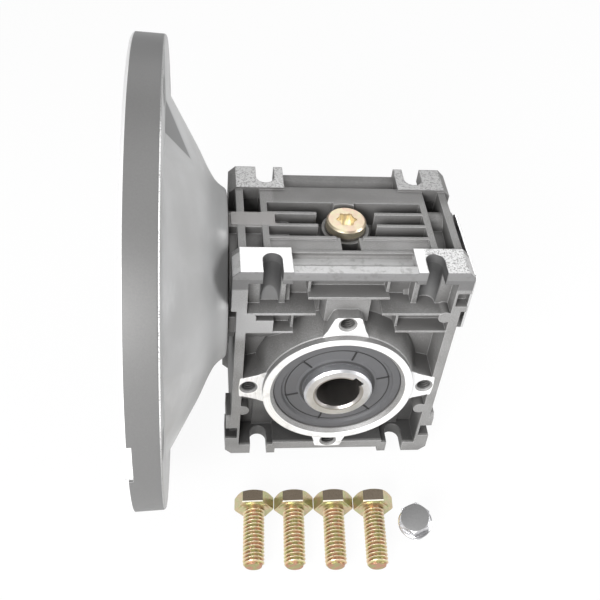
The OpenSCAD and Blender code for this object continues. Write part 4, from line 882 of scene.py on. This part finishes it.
hand_over("loose_breather_plug", placed(breather, plug_spot), plug_zinc, "breather_plug")

# %% [markdown]
# The table is a sheet of white paper, so large that this camera sees no end of
# it. Light Path makes it glow for the camera and for shiny metal, so the
# background is white without more light on the reducer, and a share of matt
# paper keeps the shadow.

# %% Table
TABLE_HALF_SIZE, TABLE_GAP, GLOW_SHARE = 6.0, 0.02, 0.94
sheet = bmesh.new()
bmesh.ops.create_grid(sheet, x_segments=2, y_segments=2, size=TABLE_HALF_SIZE)
bmesh.ops.rotate(sheet, verts=sheet.verts, cent=(0, 0, 0), matrix=Matrix.Rotation(-table_tilt, 3, "Y"))
bmesh.ops.translate(sheet, verts=sheet.verts, vec=(0, 0, (table_height(0) - TABLE_GAP) * MM))
table = as_object("table", sheet)
paper = Tree(bpy.data.materials.new("white paper"))
paper.nodes.clear()
matt = paper.node("BsdfDiffuse", {}, {"Color": (0.8, 0.8, 0.8, 1)})
glow = paper.node("Emission", {}, {"Color": (1, 1, 1, 1)})
seen = paper.ray("Camera").max(paper.ray("Glossy"))
paper.show("OutputMaterial", paper.node("MixShader", {}, {0: seen * GLOW_SHARE, 1: matt, 2: glow}))
table.data.materials.append(paper.owner)
print("table", round(-table_height(0), 1), "mm under the output axis")

# %% [markdown]
# Soft light from four large lamps: a wide one over the reducer, one behind it,
# a strong one from the front left and a weaker one from the right. The world is
# white where the camera looks at it, and grey for the light it gives and for
# what shiny metal mirrors.

# %% Light
WORLD_LIGHT, WORLD_GLOSS = 0.34, 0.05
studio = Tree(bpy.data.worlds.new("studio"))
bpy.context.scene.world = studio.owner
studio.nodes.clear()
seen = studio.ray("Camera").max(studio.ray("Transmission"))
strength = seen.max(studio.ray("Glossy") * WORLD_GLOSS + WORLD_LIGHT)
studio.show("OutputWorld", studio.node("Background", {}, {"Strength": strength}))


def lamp(name, place_mm, aim_mm, size_mm, power):
    light = bpy.data.lights.new(name, "AREA")
    light.shape = "RECTANGLE"
    light.size, light.size_y = size_mm[0] * MM, size_mm[1] * MM
    light.energy = power
    holder = bpy.data.objects.new(name, light)
    bpy.context.scene.collection.objects.link(holder)
    place, aim = Vector(place_mm) * MM, Vector(aim_mm) * MM
    towards = (aim - place).to_track_quat("-Z", "Y").to_matrix().to_4x4()
    holder.matrix_world = Matrix.Translation(place) @ towards


lamp("lamp overhead", (40, 0, 640), (0, 0, 20), (420, 320), 0.8)
lamp("lamp behind", (60, 470, 480), (0, 0, 40), (560, 160), 0.75)
lamp("lamp front left", (-300, -520, 300), (-20, 0, 20), (420, 300), 6.5)
lamp("lamp right", (520, -160, 260), (0, 0, 20), (300, 300), 2.0)
print("lamps:", ", ".join(light.name for light in bpy.data.lights))

bpy.context.scene.view_settings.view_transform = "Standard"
